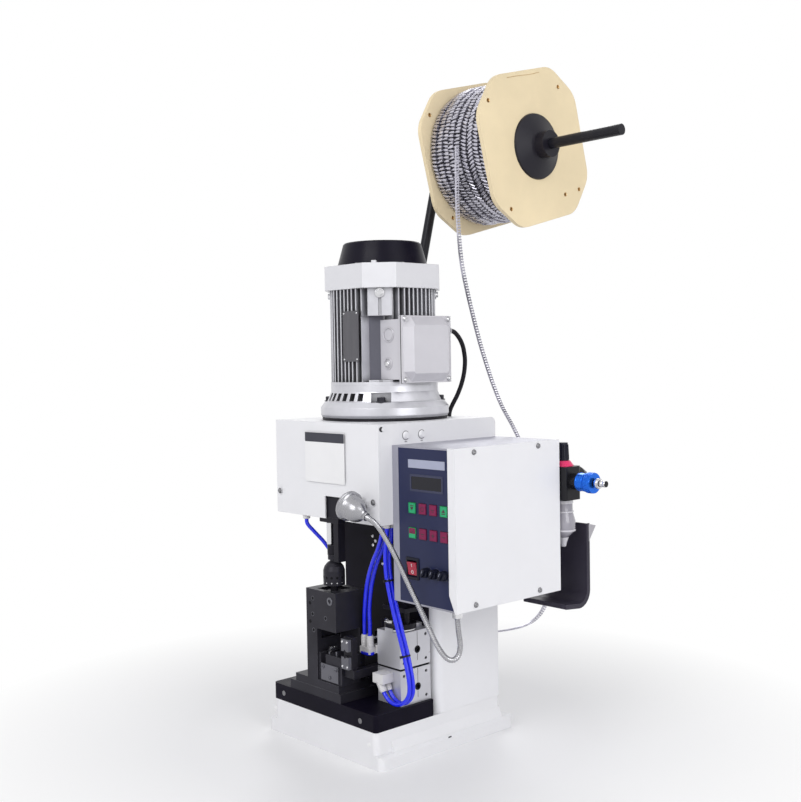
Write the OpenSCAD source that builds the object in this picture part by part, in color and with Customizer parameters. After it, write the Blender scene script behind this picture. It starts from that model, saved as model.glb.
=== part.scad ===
// Bench press that strips a wire's end and crimps a terminal on it: a C frame in white sheet casings,
// an upright motor on the head, a control box on the right and a reel of strip terminals above.
// Millimetres. The origin is the centre of the base's bottom face, +Z is up and the front is -Y.

/* [Base] */
// Width of the base
base_w = 270; // [262:1:300]
// Depth of the base
base_d = 280; // [270:1:300]
// Height of the base's outer flange
flange_h = 20; // [16:1:24]
// Height of the plinth above the flange
plinth_h = 33; // [28:1:40]
// Wall of the base casting
base_wall = 8; // [6:1:12]
// Radius of the base's upright corners
base_corner_r = 9; // [5:1:12]
// Thickness of the black bed plate
bed_t = 25; // [20:1:32]
// Sideways place of the press axis from the middle of the base
axis_x = 3; // [-4:1:6]

/* [Head] */
// Width of the head
head_w = 244; // [240:1:252]
// Depth of the head
head_d = 242.6; // [236:0.2:250]
// How far the head's front stands behind the base's front
head_setback = 14.4; // [12:0.2:18]
// Height of the head's underside
head_z = 347; // [338:1:365]
// Height of the head
head_h = 144.5; // [143:0.5:156]
// Sheet of the head casing
head_sheet = 3; // [2:0.5:4]
// Plate on top of the head that carries the motor
top_plate = 8; // [6:1:10]
// Sheet of the head's front cover
cover_sheet = 2.6; // [1.6:0.2:3]
// Radius of the head's upper rear edge
head_edge_r = 9; // [5:1:12]
// Left edge of the cover's notch, from the press axis
notch_left = -2; // [-6:1:4]
// Width of the notch in the front cover
notch_w = 47; // [40:1:54]
// Height of the notch in the front cover
notch_h = 34; // [26:1:40]

/* [Column] */
// Width of the column
column_w = 202; // [190:1:205]
// Front edge of the column casing, behind the press axis
column_back = 94; // [90:1:98]
// Sheet of the column casing
column_sheet = 2.5; // [1.5:0.5:3.5]
// Radius of the column's right front edge
column_edge_r = 15; // [10:1:18]
// Thickness of the frame's throat wall
wall_t = 22; // [18:1:26]
// How far the throat wall stands out of the casing
wall_proud = 8; // [5:1:11]

/* [Press] */
// Press axis behind the head's front face
press_back = 13.6; // [13:0.1:15]
// Height of the crankshaft above the head's underside
crank_rise = 68; // [66:1:69]
// Radius of the crankshaft
crank_r = 17; // [14:1:19]
// Wall of the crankshaft's bushes
bush_t = 4; // [3:1:6]
// Length of each bush
bush_l = 22; // [16:1:26]
// Throw of the crank pin, half the stroke
throw = 15; // [12:1:16]
// Radius of the crank pin
pin_r = 9; // [7:1:10]
// Width of the ram
ram_w = 70; // [68:1:76]
// Thickness of the ram
ram_t = 19; // [17:1:20]
// Running clearance between moving faces
running = 0.05; // [0.03:0.01:0.08]
// Gap between moving bodies that only pass each other
clear = 0.4; // [0.3:0.1:0.6]

/* [Motor] */
// Radius of the motor's mounting flange
motor_flange_r = 100; // [95:1:104]
// Radius over the motor's fins
motor_r = 82.5; // [78:0.5:86]
// Length of the finned frame
motor_frame_l = 145.5; // [135:0.5:160]
// Length of the fan-end band
motor_band_l = 37; // [34:1:50]
// Height of the fan cowl
cowl_h = 36; // [30:1:42]
// Radius of the motor shaft
shaft_r = 9.5; // [8:0.5:10]
// Distance between the motor's fins, which stand parallel on each side
fin_pitch = 8.6; // [7.4:0.2:9.4]
// Thickness of a fin
fin_t = 2.4; // [1.8:0.2:3]
// Side of the junction box's cover
jbox_side = 100; // [88:1:106]

/* [Control box] */
// Width of the control box
box_w = 127.8; // [124:0.2:140]
// Depth of the control box
box_d = 216.8; // [205:0.2:225]
// Height of the control box
box_h = 223; // [218:1:235]
// Height of the control box's underside
box_z = 238; // [232:1:244]
// Sheet of the control box
box_sheet = 2.5; // [1.5:0.5:3]
// Width of the bare strip beside the panel
panel_strip_w = 13; // [10:1:16]
// Width of the cover's lip on the front
lip_w = 13.8; // [11:0.2:16]
// Thickness of the control panel
panel_t = 3; // [2:0.5:4]
// Width of a key
key_w = 14; // [10:0.5:15]
// Height of a key
key_h = 15; // [11:0.5:17]
// Distance between the keys' columns
key_pitch = 21; // [19:0.5:21.5]
// Distance between the two rows of keys
key_row_pitch = 35.2; // [28:0.2:40]
// Travel of a key
key_travel = 0.8; // [0.5:0.1:1]
// Radius of a selector knob
selector_r = 6.5; // [5:0.5:7.5]

/* [Reel] */
// Width of the reel across its flanges' flats
reel_across = 228; // [220:1:236]
// Width of the reel over its flanges
reel_w = 130; // [110:1:140]
// Thickness of a reel flange
reel_flange_t = 7; // [5:1:9]
// Distance from the reel's middle to the flanges' cut corners
reel_cut = 127; // [122:1:132]
// Radius of the wound strip
pack_r = 109; // [90:1:110]
// Radius of the stand's rod
rod_r = 8; // [7:0.5:9]
// Height of the reel's axis
reel_z = 904; // [894:1:914]
// Turn of the reel's flats
reel_turn = 15; // [0:1:44]

/* [Applicator] */
// Width of the applicator's frame
app_w = 70; // [66:1:72]
// Height of the applicator above the bed
app_h = 162; // [156:1:166]
// Side of the square ram channel
channel = 37; // [36:0.5:39]
// Height of the wire window above the bed
window_z = 71; // [68:1:74]
// Height of the wire window
window_h = 33; // [31.5:0.5:34]
// Radius of the height dial
dial_r = 16.5; // [14:0.5:17]
// Height of the height dial
dial_h = 35; // [30:1:38]

/* [Stripping unit] */
// Side of the actuator blocks, left to right
block_w = 50; // [44:1:54]
// Depth of the actuator blocks
block_d = 60; // [54:1:62]
// Height of an actuator block
block_h = 52; // [48:1:54]
// Travel of the stripping carriage
strip_travel = 12; // [8:1:14]
// Travel of each jaw
jaw_travel = 3.5; // [2.5:0.5:3.5]

/* [Air and tray] */
// Radius of the air tubes
air_r = 3; // [2.5:0.25:3.25]
// Width of the tray
tray_w = 84; // [70:1:90]
// Sheet of the tray
tray_sheet = 2; // [1:0.5:3]
// Radius of the regulator's knob
reg_knob_r = 9.5; // [8:0.5:11]

/* [Hidden] */
$fn = 64;
front_y = -base_d/2;
plinth_top = flange_h + plinth_h;
bed_top = plinth_top + bed_t;
head_l = axis_x - head_w/2;
head_r = axis_x + head_w/2;
head_front = front_y + head_setback;
head_rear = head_front + head_d;
head_top = head_z + head_h;
cover_in = head_front + cover_sheet;
press_y = head_front + press_back;
crank_z = head_z + crank_rise;
column_front = press_y + column_back;
column_l = head_r - column_w;
wall_front = column_front - wall_proud;
wall_rear = wall_front + wall_t;
block_front = press_y + 26;
block_half = ram_w/2 + 28;
inner_top = head_top - top_plate;
strip_slot_z = bed_top + 72;

// Ram and its window: the pin sweeps the throw each way while the ram drops one stroke
stroke = 2*throw;
ram_x0 = axis_x - ram_w/2;
window_half = throw + pin_r + 1;
ram_win_low = crank_z - throw - pin_r - 0.6;
ram_win_high = crank_z + throw + pin_r + stroke + 0.6;
ram_top = ram_win_high + 7;
ram_low = head_z + 1;
gib_t = 4;

// Crown gear and pinion
pinion_teeth = 12;
gear_teeth = 48;
gear_ratio = gear_teeth/pinion_teeth;
pinion_root = 10.5;
pinion_tip = 14;
gear_mean_r = 50;
tooth_l = 8;
motor_y = wall_rear;
gear_face = motor_y + pinion_tip + 0.6;

// Motor stack
gasket_t = 4.5;
flange_z = head_top + gasket_t;
flange_t = 24;
shield_l = 25;
frame_z = flange_z + flange_t + shield_l;
band_z = frame_z + motor_frame_l;
cowl_z = band_z + motor_band_l;
motor_top = cowl_z + cowl_h;
bearing_r = 23.5;
bearing_w = 14;
stator_r = motor_r - 20;
rotor_r = 35.5;
spigot_r = 65;
core_l = motor_frame_l - 40;
jbox_z = frame_z + 3 + jbox_side/2;
jbox_x = axis_x + motor_r + 15.5;
pad_half_y = jbox_side/2 - 9;
pad_half_z = jbox_side/2 - 5;

// Control box
box_front = press_y + 12.2;
box_r = head_r + box_w;
box_rear = box_front + box_d;
box_top = box_z + box_h;
panel_l = head_r + panel_strip_w;
panel_r = box_r - lip_w;
panel_z0 = box_z + 4;
panel_z1 = box_top - 2;
key_x0 = panel_l + 28;
key_z_top = box_z + 136.7;
rocker_x = panel_l + 27;
rocker_z = box_z + 51;
rocker_y = box_front + 2;
selector_x0 = panel_l + 58;
selector_pitch = 17;
selector_z = box_z + 49.5;
display_x = panel_l + 57;
display_z = box_z + 172.4;

// Reel and stand
reel_y = head_rear + 33;
reel_x0 = axis_x + 54;
reel_x1 = reel_x0 + reel_w;
rod_x0 = axis_x - 32;
rod_x1 = reel_x1 + 159;
reel_bore_r = 25;
mast_x = axis_x - 53;
mast_y = head_rear + 5 + rod_r;
mast_bend_z = head_top + 248;

// Applicator
app_x0 = axis_x - app_w/2;
app_front = press_y - 27;
app_back = press_y + 28;
app_top = bed_top + app_h;
channel_half = channel/2;
win_low = bed_top + window_z;
win_high = win_low + window_h;
app_ram_half = channel_half - 0.3;
app_ram_z0 = win_high + 14;
dial_z = app_top + 6;
nut_z = dial_z + dial_h + 25;
anvil_top = win_high - stroke + 0.5;
crimper_z = win_high - 4;

// Stripping unit
block_x1 = head_r - 5;
block_x0 = block_x1 - block_w;
block_y0 = wall_front - block_d;
block_z1 = bed_top + block_h;
block2_z0 = block_z1 + 3;
block2_z1 = block2_z0 + block_h;
slide_z = block2_z1 + clear;
holder_x0 = app_x0 + app_w + 10;
holder_y = press_y - 10;
jaw_z = bed_top + 76;

// Lines that the free cords lie on, points chosen by hand
tube_left_line = [[-56, -117, 341], [-55, -116, 332], [-49, -108, 320], [-40, -98, 305], [-31, -90, 288],
    [-25, -86, 272], [-22, -86, 262]];
tube_middle_a_line = [[98, -98, 341], [97, -98, 328], [89, -98, 308], [74, -98, 282], [61, -97, 250],
    [53, -95, 216], [48, -92, 190], [46, -90, 172]];
tube_middle_b_line = [[98, -88, 341], [97.5, -88.5, 328], [91, -91, 308], [77, -91.5, 282], [65, -91, 250],
    [58.5, -90.5, 216], [58, -90, 190], [58, -90, 172]];
tube_right_a_line = [[112, -101, 341], [111, -101, 325], [109, -102, 300], [112, -103, 270], [119, -102, 238],
    [128, -99, 200], [137, -96, 165], [145.4, -95.6, 136], [148.4, -95.8, 122], [149.2, -96, 112],
    [147.7, -96.5, 103.2], [141.7, -97.5, 93.9], [132.4, -99, 87.9], [121.4, -100.5, 86.5],
    [110.8, -101.5, 89.8], [102.6, -102, 97.3], [100, -102, 101]];
tube_right_b_line = [[112, -91, 341], [111, -91.5, 325], [109.5, -94.5, 300], [113, -96, 270], [120.5, -95.4, 238],
    [129.5, -92.4, 200], [138.5, -89.4, 165], [146, -88.6, 136], [148.9, -88.8, 122], [149.7, -89, 112],
    [148.2, -89.3, 103.2], [142.2, -89.7, 93.9], [132.9, -90.2, 87.9], [121.9, -90.7, 86.5],
    [111.3, -91, 89.8], [103.1, -91, 97.3], [100.5, -91, 101]];
cable_line = [[86, 58, 626.5], [86, 64, 625.9], [85.9, 70, 623.6], [85.5, 76.5, 618.9], [84.5, 84, 611.5],
    [83, 90.7, 602], [81.6, 94.8, 592], [80, 97.9, 581.2], [77.8, 99.4, 569.5], [75, 99.8, 557.6],
    [71.2, 99.4, 545.5], [67, 98, 534], [62.6, 96, 523.5], [58, 93.7, 514.3], [53.8, 91.7, 505.5],
    [51.6, 90.5, 498.5], [50.8, 90, 492]];
strip_line = [[127, 39.2, 900], [127, 38.4, 850], [127, 39.5, 790], [127, 45.5, 730], [127, 56.5, 687],
    [127, 70, 645], [127, 83, 608], [127, 98, 572], [127, 115, 536], [127, 133, 505],
    [127, 158, 472], [127, 186, 430], [127, 214, 382], [126, 236, 322], [124, 247, 262],
    [122, 247, 208], [119, 238, 174], [114, 220, 154], [107, 196, 145], [98, 168, 142],
    [88, 140, 142], [78, 112, 143], [58, 72, 146], [28, 34, 149], [7, 4, 150], [3, -26, 150],
    [3, -56, 150], [3, -84, 150]];
neck_line = [[244, -92, 235.8], [244.4, -92.3, 226], [249, -95, 212], [256, -99.5, 196], [257, -104, 184],
    [251, -109, 177], [241, -114, 181], [229, -119.5, 199], [212, -126, 234], [192, -134, 276],
    [170, -141, 318], [152, -147.5, 347], [138, -150, 359.1], [126, -150, 363]];
neck_end = neck_line[len(neck_line) - 1];

// Shared shapes

// Rectangle with round corners, from its low corner
module round_rect(w, d, r) {
    translate([r, 0]) square([w - 2*r, d]);
    translate([0, r]) square([w, d - 2*r]);
    for (x = [r, w - r], y = [r, d - r]) translate([x, y]) circle(r);
}

// Box given by its low and high corners
module box(low, high) {
    translate(low) cube(high - low);
}

// Rod between two heights of Z, of X or of Y
module rod_z(x, y, z0, z1, r) {
    translate([x, y, z0]) cylinder(h = z1 - z0, r = r);
}
module rod_x(x0, x1, y, z, r) {
    translate([x0, y, z]) rotate([0, 90, 0]) cylinder(h = x1 - x0, r = r);
}
module rod_y(x, y0, y1, z, r) {
    translate([x, y0, z]) rotate([-90, 0, 0]) cylinder(h = y1 - y0, r = r);
}

// Outline in Y and Z carried along X
module along_x(x0, x1) {
    translate([x0, 0, 0]) rotate([90, 0, 90]) linear_extrude(x1 - x0) children();
}

// Outline in X and Z carried along Y
module along_y(y0, y1) {
    translate([0, y1, 0]) rotate([90, 0, 0]) linear_extrude(y1 - y0) children();
}

// Screw head on a face whose normal is -Y, or +X
module screw_front(x, y, z, r) {
    rod_y(x, y - 2.2, y, z, r);
}
module screw_side(x, y, z, r) {
    rod_x(x, x + 2.2, y, z, r);
}

// Smooth line through chosen points, and a closed tube along it
function bend(p, i, t) =
    let (a = p[max(i - 1, 0)], b = p[i], c = p[i + 1], d = p[min(i + 2, len(p) - 1)])
    0.5*(2*b + (c - a)*t + (2*a - 5*b + 4*c - d)*t*t + (3*b - a - 3*c + d)*t*t*t);
function smooth_line(p, steps) = concat(
    [for (i = [0 : len(p) - 2], k = [0 : steps - 1]) bend(p, i, k/steps)], [p[len(p) - 1]]);
function unit(v) = v/norm(v);
function across(v, t) = unit(v - (v*t)*t);
module tube_along(points, rx, ry, sides, side_dir, steps) {
    line = smooth_line(points, steps);
    n = len(line);
    ways = [for (i = [0 : n - 1]) unit(line[min(i + 1, n - 1)] - line[max(i - 1, 0)])];
    normals = [for (i = 0, v = across(side_dir, ways[0]); i < n; i = i + 1, v = i < n ? across(v, ways[i]) : v) v];
    rings = [for (i = [0 : n - 1], k = [0 : sides - 1])
        line[i] + rx*cos(360*k/sides)*normals[i] + ry*sin(360*k/sides)*cross(ways[i], normals[i])];
    walls = [for (i = [0 : n - 2], k = [0 : sides - 1])
        [i*sides + k, (i + 1)*sides + k, (i + 1)*sides + (k + 1) % sides, i*sides + (k + 1) % sides]];
    first = [for (k = [0 : sides - 1]) k];
    last = [for (k = [sides - 1 : -1 : 0]) (n - 1)*sides + k];
    polyhedron(points = rings, faces = concat([first], walls, [last]), convexity = 6);
}

// Base, bed and frame

module base() {
    bevel = 4;
    color("white") difference() {
        union() {
            intersection() {
                translate([-base_w/2, front_y, 0]) linear_extrude(flange_h) round_rect(base_w, base_d, base_corner_r);
                along_y(front_y, -front_y) polygon([[-base_w/2, 0], [base_w/2, 0],
                    [base_w/2, flange_h - bevel], [base_w/2 - bevel, flange_h],
                    [-base_w/2 + bevel, flange_h], [-base_w/2, flange_h - bevel]]);
                along_x(-base_w/2, base_w/2) polygon([[front_y, 0], [-front_y, 0],
                    [-front_y, flange_h - bevel], [-front_y - bevel, flange_h],
                    [front_y, flange_h]]);
            }
            translate([head_l, front_y, flange_h]) linear_extrude(plinth_h)
                round_rect(head_w, head_rear + 3 - front_y, base_corner_r);
            along_y(front_y + 30, head_rear) polygon([[head_r - 1, flange_h - 1],
                [base_w/2 - bevel, flange_h - 1], [base_w/2 - bevel, flange_h + 2], [head_r, flange_h + 16],
                [head_r - 1, flange_h + 16]]);
        }
        box([column_l + base_wall, wall_rear + base_wall, base_wall],
            [head_r - base_wall, head_rear - base_wall, plinth_top + 1]);
        box([head_l + base_wall, front_y + base_wall, base_wall],
            [head_r - base_wall, wall_front - base_wall, plinth_top - base_wall]);
        box([axis_x - 12, wall_front - base_wall - 1, base_wall], [axis_x + 12, wall_rear + base_wall + 1,
            plinth_top - base_wall]);
    }
}

module bed_plate() {
    color([0.1, 0.1, 0.12]) translate([head_l, front_y, plinth_top]) linear_extrude(bed_t) difference() {
        round_rect(head_w, wall_front - front_y + 6, 6);
        translate([-1, wall_front - front_y]) square([head_w + 2, 8]);
    }
}

module c_frame() {
    color([0.12, 0.12, 0.14]) difference() {
        union() {
            box([column_l + column_sheet, wall_front, plinth_top], [head_r - column_edge_r, wall_rear, head_z + head_sheet]);
            box([axis_x - block_half, wall_front - 1, head_z + head_sheet],
                [axis_x + block_half, wall_rear, crank_z + crank_r + bush_t + 5]);
            box([axis_x - block_half, block_front, head_z + head_sheet],
                [axis_x + block_half, wall_front, inner_top]);
            for (side = [-1, 1])
                translate([axis_x + side*(ram_w/2 + gib_t + running + (block_half - ram_w/2 - gib_t - running)/2), 0, 0])
                    translate([-(block_half - ram_w/2 - gib_t - running)/2, cover_in + 0.6, head_z + head_sheet])
                        cube([block_half - ram_w/2 - gib_t - running, block_front - cover_in - 0.6 + 1,
                            inner_top - head_z - head_sheet]);
        }
        rod_y(axis_x, block_front - 1, wall_rear + 1, crank_z, crank_r + bush_t);
        box([axis_x - 8, wall_front - 1, strip_slot_z - 8], [axis_x + 8, wall_rear + 1, strip_slot_z + 8]);
    }
}

module column_casing() {
    color("white") difference() {
        translate([0, 0, plinth_top]) linear_extrude(head_z - plinth_top) difference() {
            union() {
                translate([column_l, column_front]) square([column_w - column_edge_r, head_rear - column_front]);
                translate([column_l, column_front + column_edge_r])
                    square([column_w, head_rear - column_front - column_edge_r]);
                translate([head_r - column_edge_r, column_front + column_edge_r]) circle(column_edge_r);
            }
            translate([column_l + column_sheet, column_front + column_edge_r])
                square([column_w - 2*column_sheet, head_rear - column_front - column_edge_r - column_sheet]);
            translate([column_l + column_sheet, column_front - 1])
                square([column_w - column_edge_r - column_sheet, column_edge_r + 2]);
            translate([head_r - column_edge_r, column_front + column_edge_r]) circle(column_edge_r - column_sheet);
        }
        // Slot at the back where the terminal strip goes in
        box([head_r - 62, head_rear - column_sheet - 1, strip_slot_z - 16],
            [head_r - 30, head_rear + 1, strip_slot_z + 4]);
    }
}

module head_profile(inset, open_front) {
    r = head_edge_r - inset;
    y0 = cover_in - open_front;
    y1 = head_rear - inset;
    z0 = head_z + inset;
    z1 = head_top - (inset > 0 ? top_plate : 0);
    translate([y0, z0]) square([y1 - y0, z1 - z0 - r]);
    translate([y0, z0]) square([y1 - y0 - r, z1 - z0]);
    translate([y1 - r, z1 - r]) circle(r);
}

module head_casing() {
    color("white") difference() {
        along_x(head_l, head_r) head_profile(0, 0);
        along_x(head_l + head_sheet, head_r - head_sheet) head_profile(head_sheet, 2);
        // Underside: the way down for the ram, and the way into the column
        box([axis_x - ram_w/2 - 6, cover_in - 1, head_z - 1], [axis_x + ram_w/2 + 6, press_y + 32, head_z + head_sheet + 1]);
        box([column_l + column_sheet, wall_front, head_z - 1],
            [head_r - column_edge_r, head_rear - 12, head_z + head_sheet + 1]);
        // Top: the motor's register, and the cable's grommet
        rod_z(axis_x, motor_y, inner_top - 1, head_top + 1, spigot_r + 0.2);
        rod_z(50.8, 90, inner_top - 1, head_top + 1, 3.6);
    }
    // Bolts and plugs on the right side, beside the bearing housing
    color([0.15, 0.15, 0.17]) {
        screw_side(head_r, head_front + 8, head_top - 7, 3);
        screw_side(head_r, head_front + 55, head_top - 18, 4.5);
        screw_side(head_r, head_front + 86.5, head_top - 18, 4.5);
    }
}

module head_cover() {
    color("white") difference() {
        box([head_l, head_front, head_z], [head_r, cover_in, head_top]);
        box([axis_x + notch_left, head_front - 1, head_z - 1],
            [axis_x + notch_left + notch_w, cover_in + 1, head_z + notch_h]);
    }
    color([0.2, 0.2, 0.22])
        for (x = [head_l + 10, head_r - 11]) screw_front(x, head_front, head_z + 33.5, 3);
}

// Motor

module motor_flange() {
    color([0.08, 0.08, 0.08]) difference() {
        rod_z(axis_x, motor_y, head_top, flange_z, motor_flange_r - 3);
        rod_z(axis_x, motor_y, head_top - 1, flange_z + 1, spigot_r + 0.2);
    }
    pocket_z = flange_z + flange_t - 0.5;
    color([0.8, 0.8, 0.82]) difference() {
        union() {
            translate([axis_x, motor_y, flange_z]) rotate_extrude() polygon([[0, 0], [motor_flange_r - 2, 0],
                [motor_flange_r, 4], [motor_flange_r, 15], [motor_flange_r - 7, flange_t],
                [motor_flange_r - 10, flange_t], [motor_r + 1, flange_t + 15], [motor_r + 1, flange_t + shield_l],
                [0, flange_t + shield_l]]);
            rod_z(axis_x, motor_y, head_top - 4, flange_z + 1, spigot_r);
        }
        // Air windows at the front and back, and four pockets for the bolts
        for (a = [90, 270], k = [-2.5 : 2.5]) translate([axis_x, motor_y, 0]) rotate([0, 0, a + 9.5*k])
            box([70, -4.4, flange_z + flange_t + 1.5], [motor_flange_r, 4.4, flange_z + flange_t + 13]);
        for (a = [45 : 90 : 315]) translate([axis_x, motor_y, 0]) rotate([0, 0, a])
            box([76, -15, pocket_z], [motor_flange_r + 2, 15, flange_z + flange_t + 14]);
        rod_z(axis_x, motor_y, head_top - 5, frame_z + 1, shaft_r + 2);
        rod_z(axis_x, motor_y, flange_z + 6, flange_z + 6 + bearing_w, bearing_r + running);
        rod_z(axis_x, motor_y, flange_z + 6 + bearing_w - 0.01, frame_z + 1, bearing_r - 3);
    }
    color([0.5, 0.5, 0.52]) for (a = [45 : 90 : 315]) translate([axis_x, motor_y, 0]) rotate([0, 0, a])
        rod_z(motor_flange_r - 13.5, 0, pocket_z, pocket_z + 7, 4.5);
}

module motor_frame() {
    color([0.78, 0.78, 0.8]) {
        difference() {
        translate([axis_x, motor_y, frame_z]) linear_extrude(motor_frame_l) difference() {
            union() {
                circle(motor_r - 10);
                for (a = [0 : 90 : 270], k = [-4 : 4]) rotate(a) translate([motor_r - 30, k*fin_pitch - fin_t/2])
                    square([min(sqrt(motor_r*motor_r - pow(abs(k)*fin_pitch + fin_t/2, 2)), motor_r - 3.5)
                        - motor_r + 30, fin_t]);
                // Smooth bosses between the sides, with a groove down the middle
                for (a = [45 : 90 : 315]) rotate(a) difference() {
                    translate([motor_r - 16, -18]) square([14.6, 36]);
                    translate([motor_r - 4, -2.5]) square([10, 5]);
                }
            }
            circle(stator_r);
        }
        // The corner boss is cut away beside the junction box, down to the body's core
        difference() {
            box([axis_x + 34, motor_y - motor_r - 10, jbox_z - pad_half_z], [axis_x + motor_r + 10,
                motor_y - pad_half_y - 0.5, jbox_z + pad_half_z + 6]);
            rod_z(axis_x, motor_y, frame_z, band_z, motor_r - 17);
        }
        }
        // Foot ring under the fins
        translate([axis_x, motor_y, frame_z]) linear_extrude(5) difference() {
            circle(motor_r + 1);
            circle(stator_r);
        }
        // Pad that carries the junction box
        difference() {
            box([axis_x + motor_r - 40, motor_y - pad_half_y, jbox_z - pad_half_z],
                [axis_x + motor_r + 2, motor_y + pad_half_y, jbox_z + pad_half_z]);
            rod_z(axis_x, motor_y, frame_z - 1, band_z + 1, stator_r + 4);
        }
    }
    // Stator pressed in the frame
    color([0.45, 0.3, 0.2]) difference() {
        rod_z(axis_x, motor_y, frame_z + 20, frame_z + 20 + core_l, stator_r - 0.05);
        rod_z(axis_x, motor_y, frame_z + 19, frame_z + 21 + core_l, rotor_r + clear);
    }
}

module motor_end_band() {
    color([0.86, 0.86, 0.88]) difference() {
        union() {
            translate([axis_x, motor_y, band_z]) linear_extrude(motor_band_l) intersection() {
                square(2*(motor_r - 2.5), center = true);
                rotate(45) square(2*(motor_r + 5.5), center = true);
            }
            // Lug at the top edge that holds the cowl
            translate([axis_x, motor_y, cowl_z - 8]) rotate([0, 0, -51])
                translate([(cowl_foot() + 0.4), -3.5, 0]) cube([9, 7, 12]);
        }
        rod_z(axis_x, motor_y, band_z - 1, band_z + 10, stator_r);
        rod_z(axis_x, motor_y, band_z - 1, cowl_z + 1, shaft_r + 1);
        rod_z(axis_x, motor_y, band_z + 10 - 0.01, band_z + 10 + bearing_w, bearing_r + running);
        rod_z(axis_x, motor_y, band_z + 30, cowl_z + 1, motor_r - 18);
    }
}

function cowl_foot() = motor_r - 12;

module fan_cowl() {
    top_r = cowl_foot() - 10;
    color([0.1, 0.1, 0.12]) translate([axis_x, motor_y, cowl_z]) difference() {
        rotate_extrude() polygon([[0, 0], [cowl_foot(), 0], [top_r + 0.5, cowl_h - 2], [top_r - 1.5, cowl_h], [0, cowl_h]]);
        rotate_extrude() polygon([[0, -1], [cowl_foot() - 2, -1], [cowl_foot() - 2, 0], [top_r - 1, cowl_h - 4],
            [0, cowl_h - 4]]);
        // Ring of air slots in the top
        for (i = [0 : 23]) rotate([0, 0, i*15]) translate([18, -1.5, cowl_h - 5]) cube([top_r - 28, 3, 6]);
    }
}

module junction_box() {
    half = jbox_side/2;
    color([0.82, 0.82, 0.84]) difference() {
        union() {
            box([axis_x + motor_r + 2, motor_y - pad_half_y, jbox_z - pad_half_z],
                [jbox_x - 8, motor_y + pad_half_y, jbox_z + pad_half_z]);
            box([jbox_x - 8, motor_y - half, jbox_z - half], [jbox_x - 4, motor_y + half, jbox_z + half]);
        }
        box([axis_x + motor_r + 5, motor_y - pad_half_y + 3, jbox_z - pad_half_z + 3],
            [jbox_x - 3, motor_y + pad_half_y - 3, jbox_z + pad_half_z - 3]);
    }
    // Cover that slopes up to a raised square, with room for the screws in its corners
    color([0.88, 0.88, 0.9]) translate([0, motor_y, jbox_z]) difference() {
        union() {
            box([jbox_x - 4, -half, -half], [jbox_x, half, half]);
            hull() {
                along_x(jbox_x - 1, jbox_x) cut_square(half - 2, 15);
                along_x(jbox_x + 9, jbox_x + 10) cut_square(half - 14, 3);
            }
        }
        box([jbox_x - 5, 16 - half, 16 - half], [jbox_x + 7, half - 16, half - 16]);
    }
    color([0.5, 0.5, 0.5]) for (y = [-1, 1], z = [-1, 1])
        screw_side(jbox_x, motor_y + y*(half - 5), jbox_z + z*(half - 5), 2.6);
    // Gland where the motor's cable comes out at the back
    color([0.15, 0.15, 0.15]) rod_y(86, motor_y + pad_half_y, 58, 626.5, 6);
}

// Square about the middle, half as wide as given, with cut corners
module cut_square(half, cut) {
    polygon([[half, cut - half], [half, half - cut], [half - cut, half], [cut - half, half],
        [-half, half - cut], [-half, cut - half], [cut - half, -half], [half - cut, -half]]);
}

module motor_cable() {
    color([0.1, 0.1, 0.1]) tube_along(cable_line, 3.5, 3.5, 10, [0, 0, 1], 2);
}

module rotor() {
    color([0.7, 0.7, 0.72]) {
        rod_z(axis_x, motor_y, crank_z + gear_mean_r - tooth_l, cowl_z + 22, shaft_r);
        rod_z(axis_x, motor_y, frame_z + 20, frame_z + 20 + core_l, rotor_r);
        rod_z(axis_x, motor_y, crank_z + gear_mean_r - 7, crank_z + gear_mean_r + 9, pinion_root);
        for (i = [0 : pinion_teeth - 1]) translate([axis_x, motor_y, crank_z + gear_mean_r - 7])
            rotate([0, 0, 90 + i*360/pinion_teeth]) linear_extrude(16)
                polygon([[pinion_root - 1, -1.5], [pinion_tip, -0.9], [pinion_tip, 0.9], [pinion_root - 1, 1.5]]);
    }
}

module motor_fan() {
    color([0.2, 0.2, 0.22]) translate([axis_x, motor_y, cowl_z + 3]) {
        linear_extrude(2) difference() {
            circle(46);
            circle(shaft_r);
        }
        translate([0, 0, 2]) linear_extrude(15) difference() {
            union() {
                circle(shaft_r + 6);
                for (i = [0 : 6]) rotate(i*360/7) translate([shaft_r + 3, -1]) square([45 - shaft_r - 3, 2]);
            }
            circle(shaft_r);
        }
    }
}

module bearings() {
    // Ball bearings of the motor shaft
    color([0.75, 0.75, 0.78]) for (z = [flange_z + 6, band_z + 10]) difference() {
        rod_z(axis_x, motor_y, z + (z > frame_z ? 0 : 0.1), z + bearing_w - 0.1, bearing_r);
        rod_z(axis_x, motor_y, z - 1, z + bearing_w + 1, shaft_r + running);
    }
    // Bronze bushes of the crankshaft
    color([0.7, 0.5, 0.25]) for (y = [block_front, wall_rear - bush_l]) difference() {
        rod_y(axis_x, y, y + bush_l, crank_z, crank_r + bush_t - 0.01);
        rod_y(axis_x, y - 1, y + bush_l + 1, crank_z, crank_r + running);
    }
}

// Crank and ram

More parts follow.
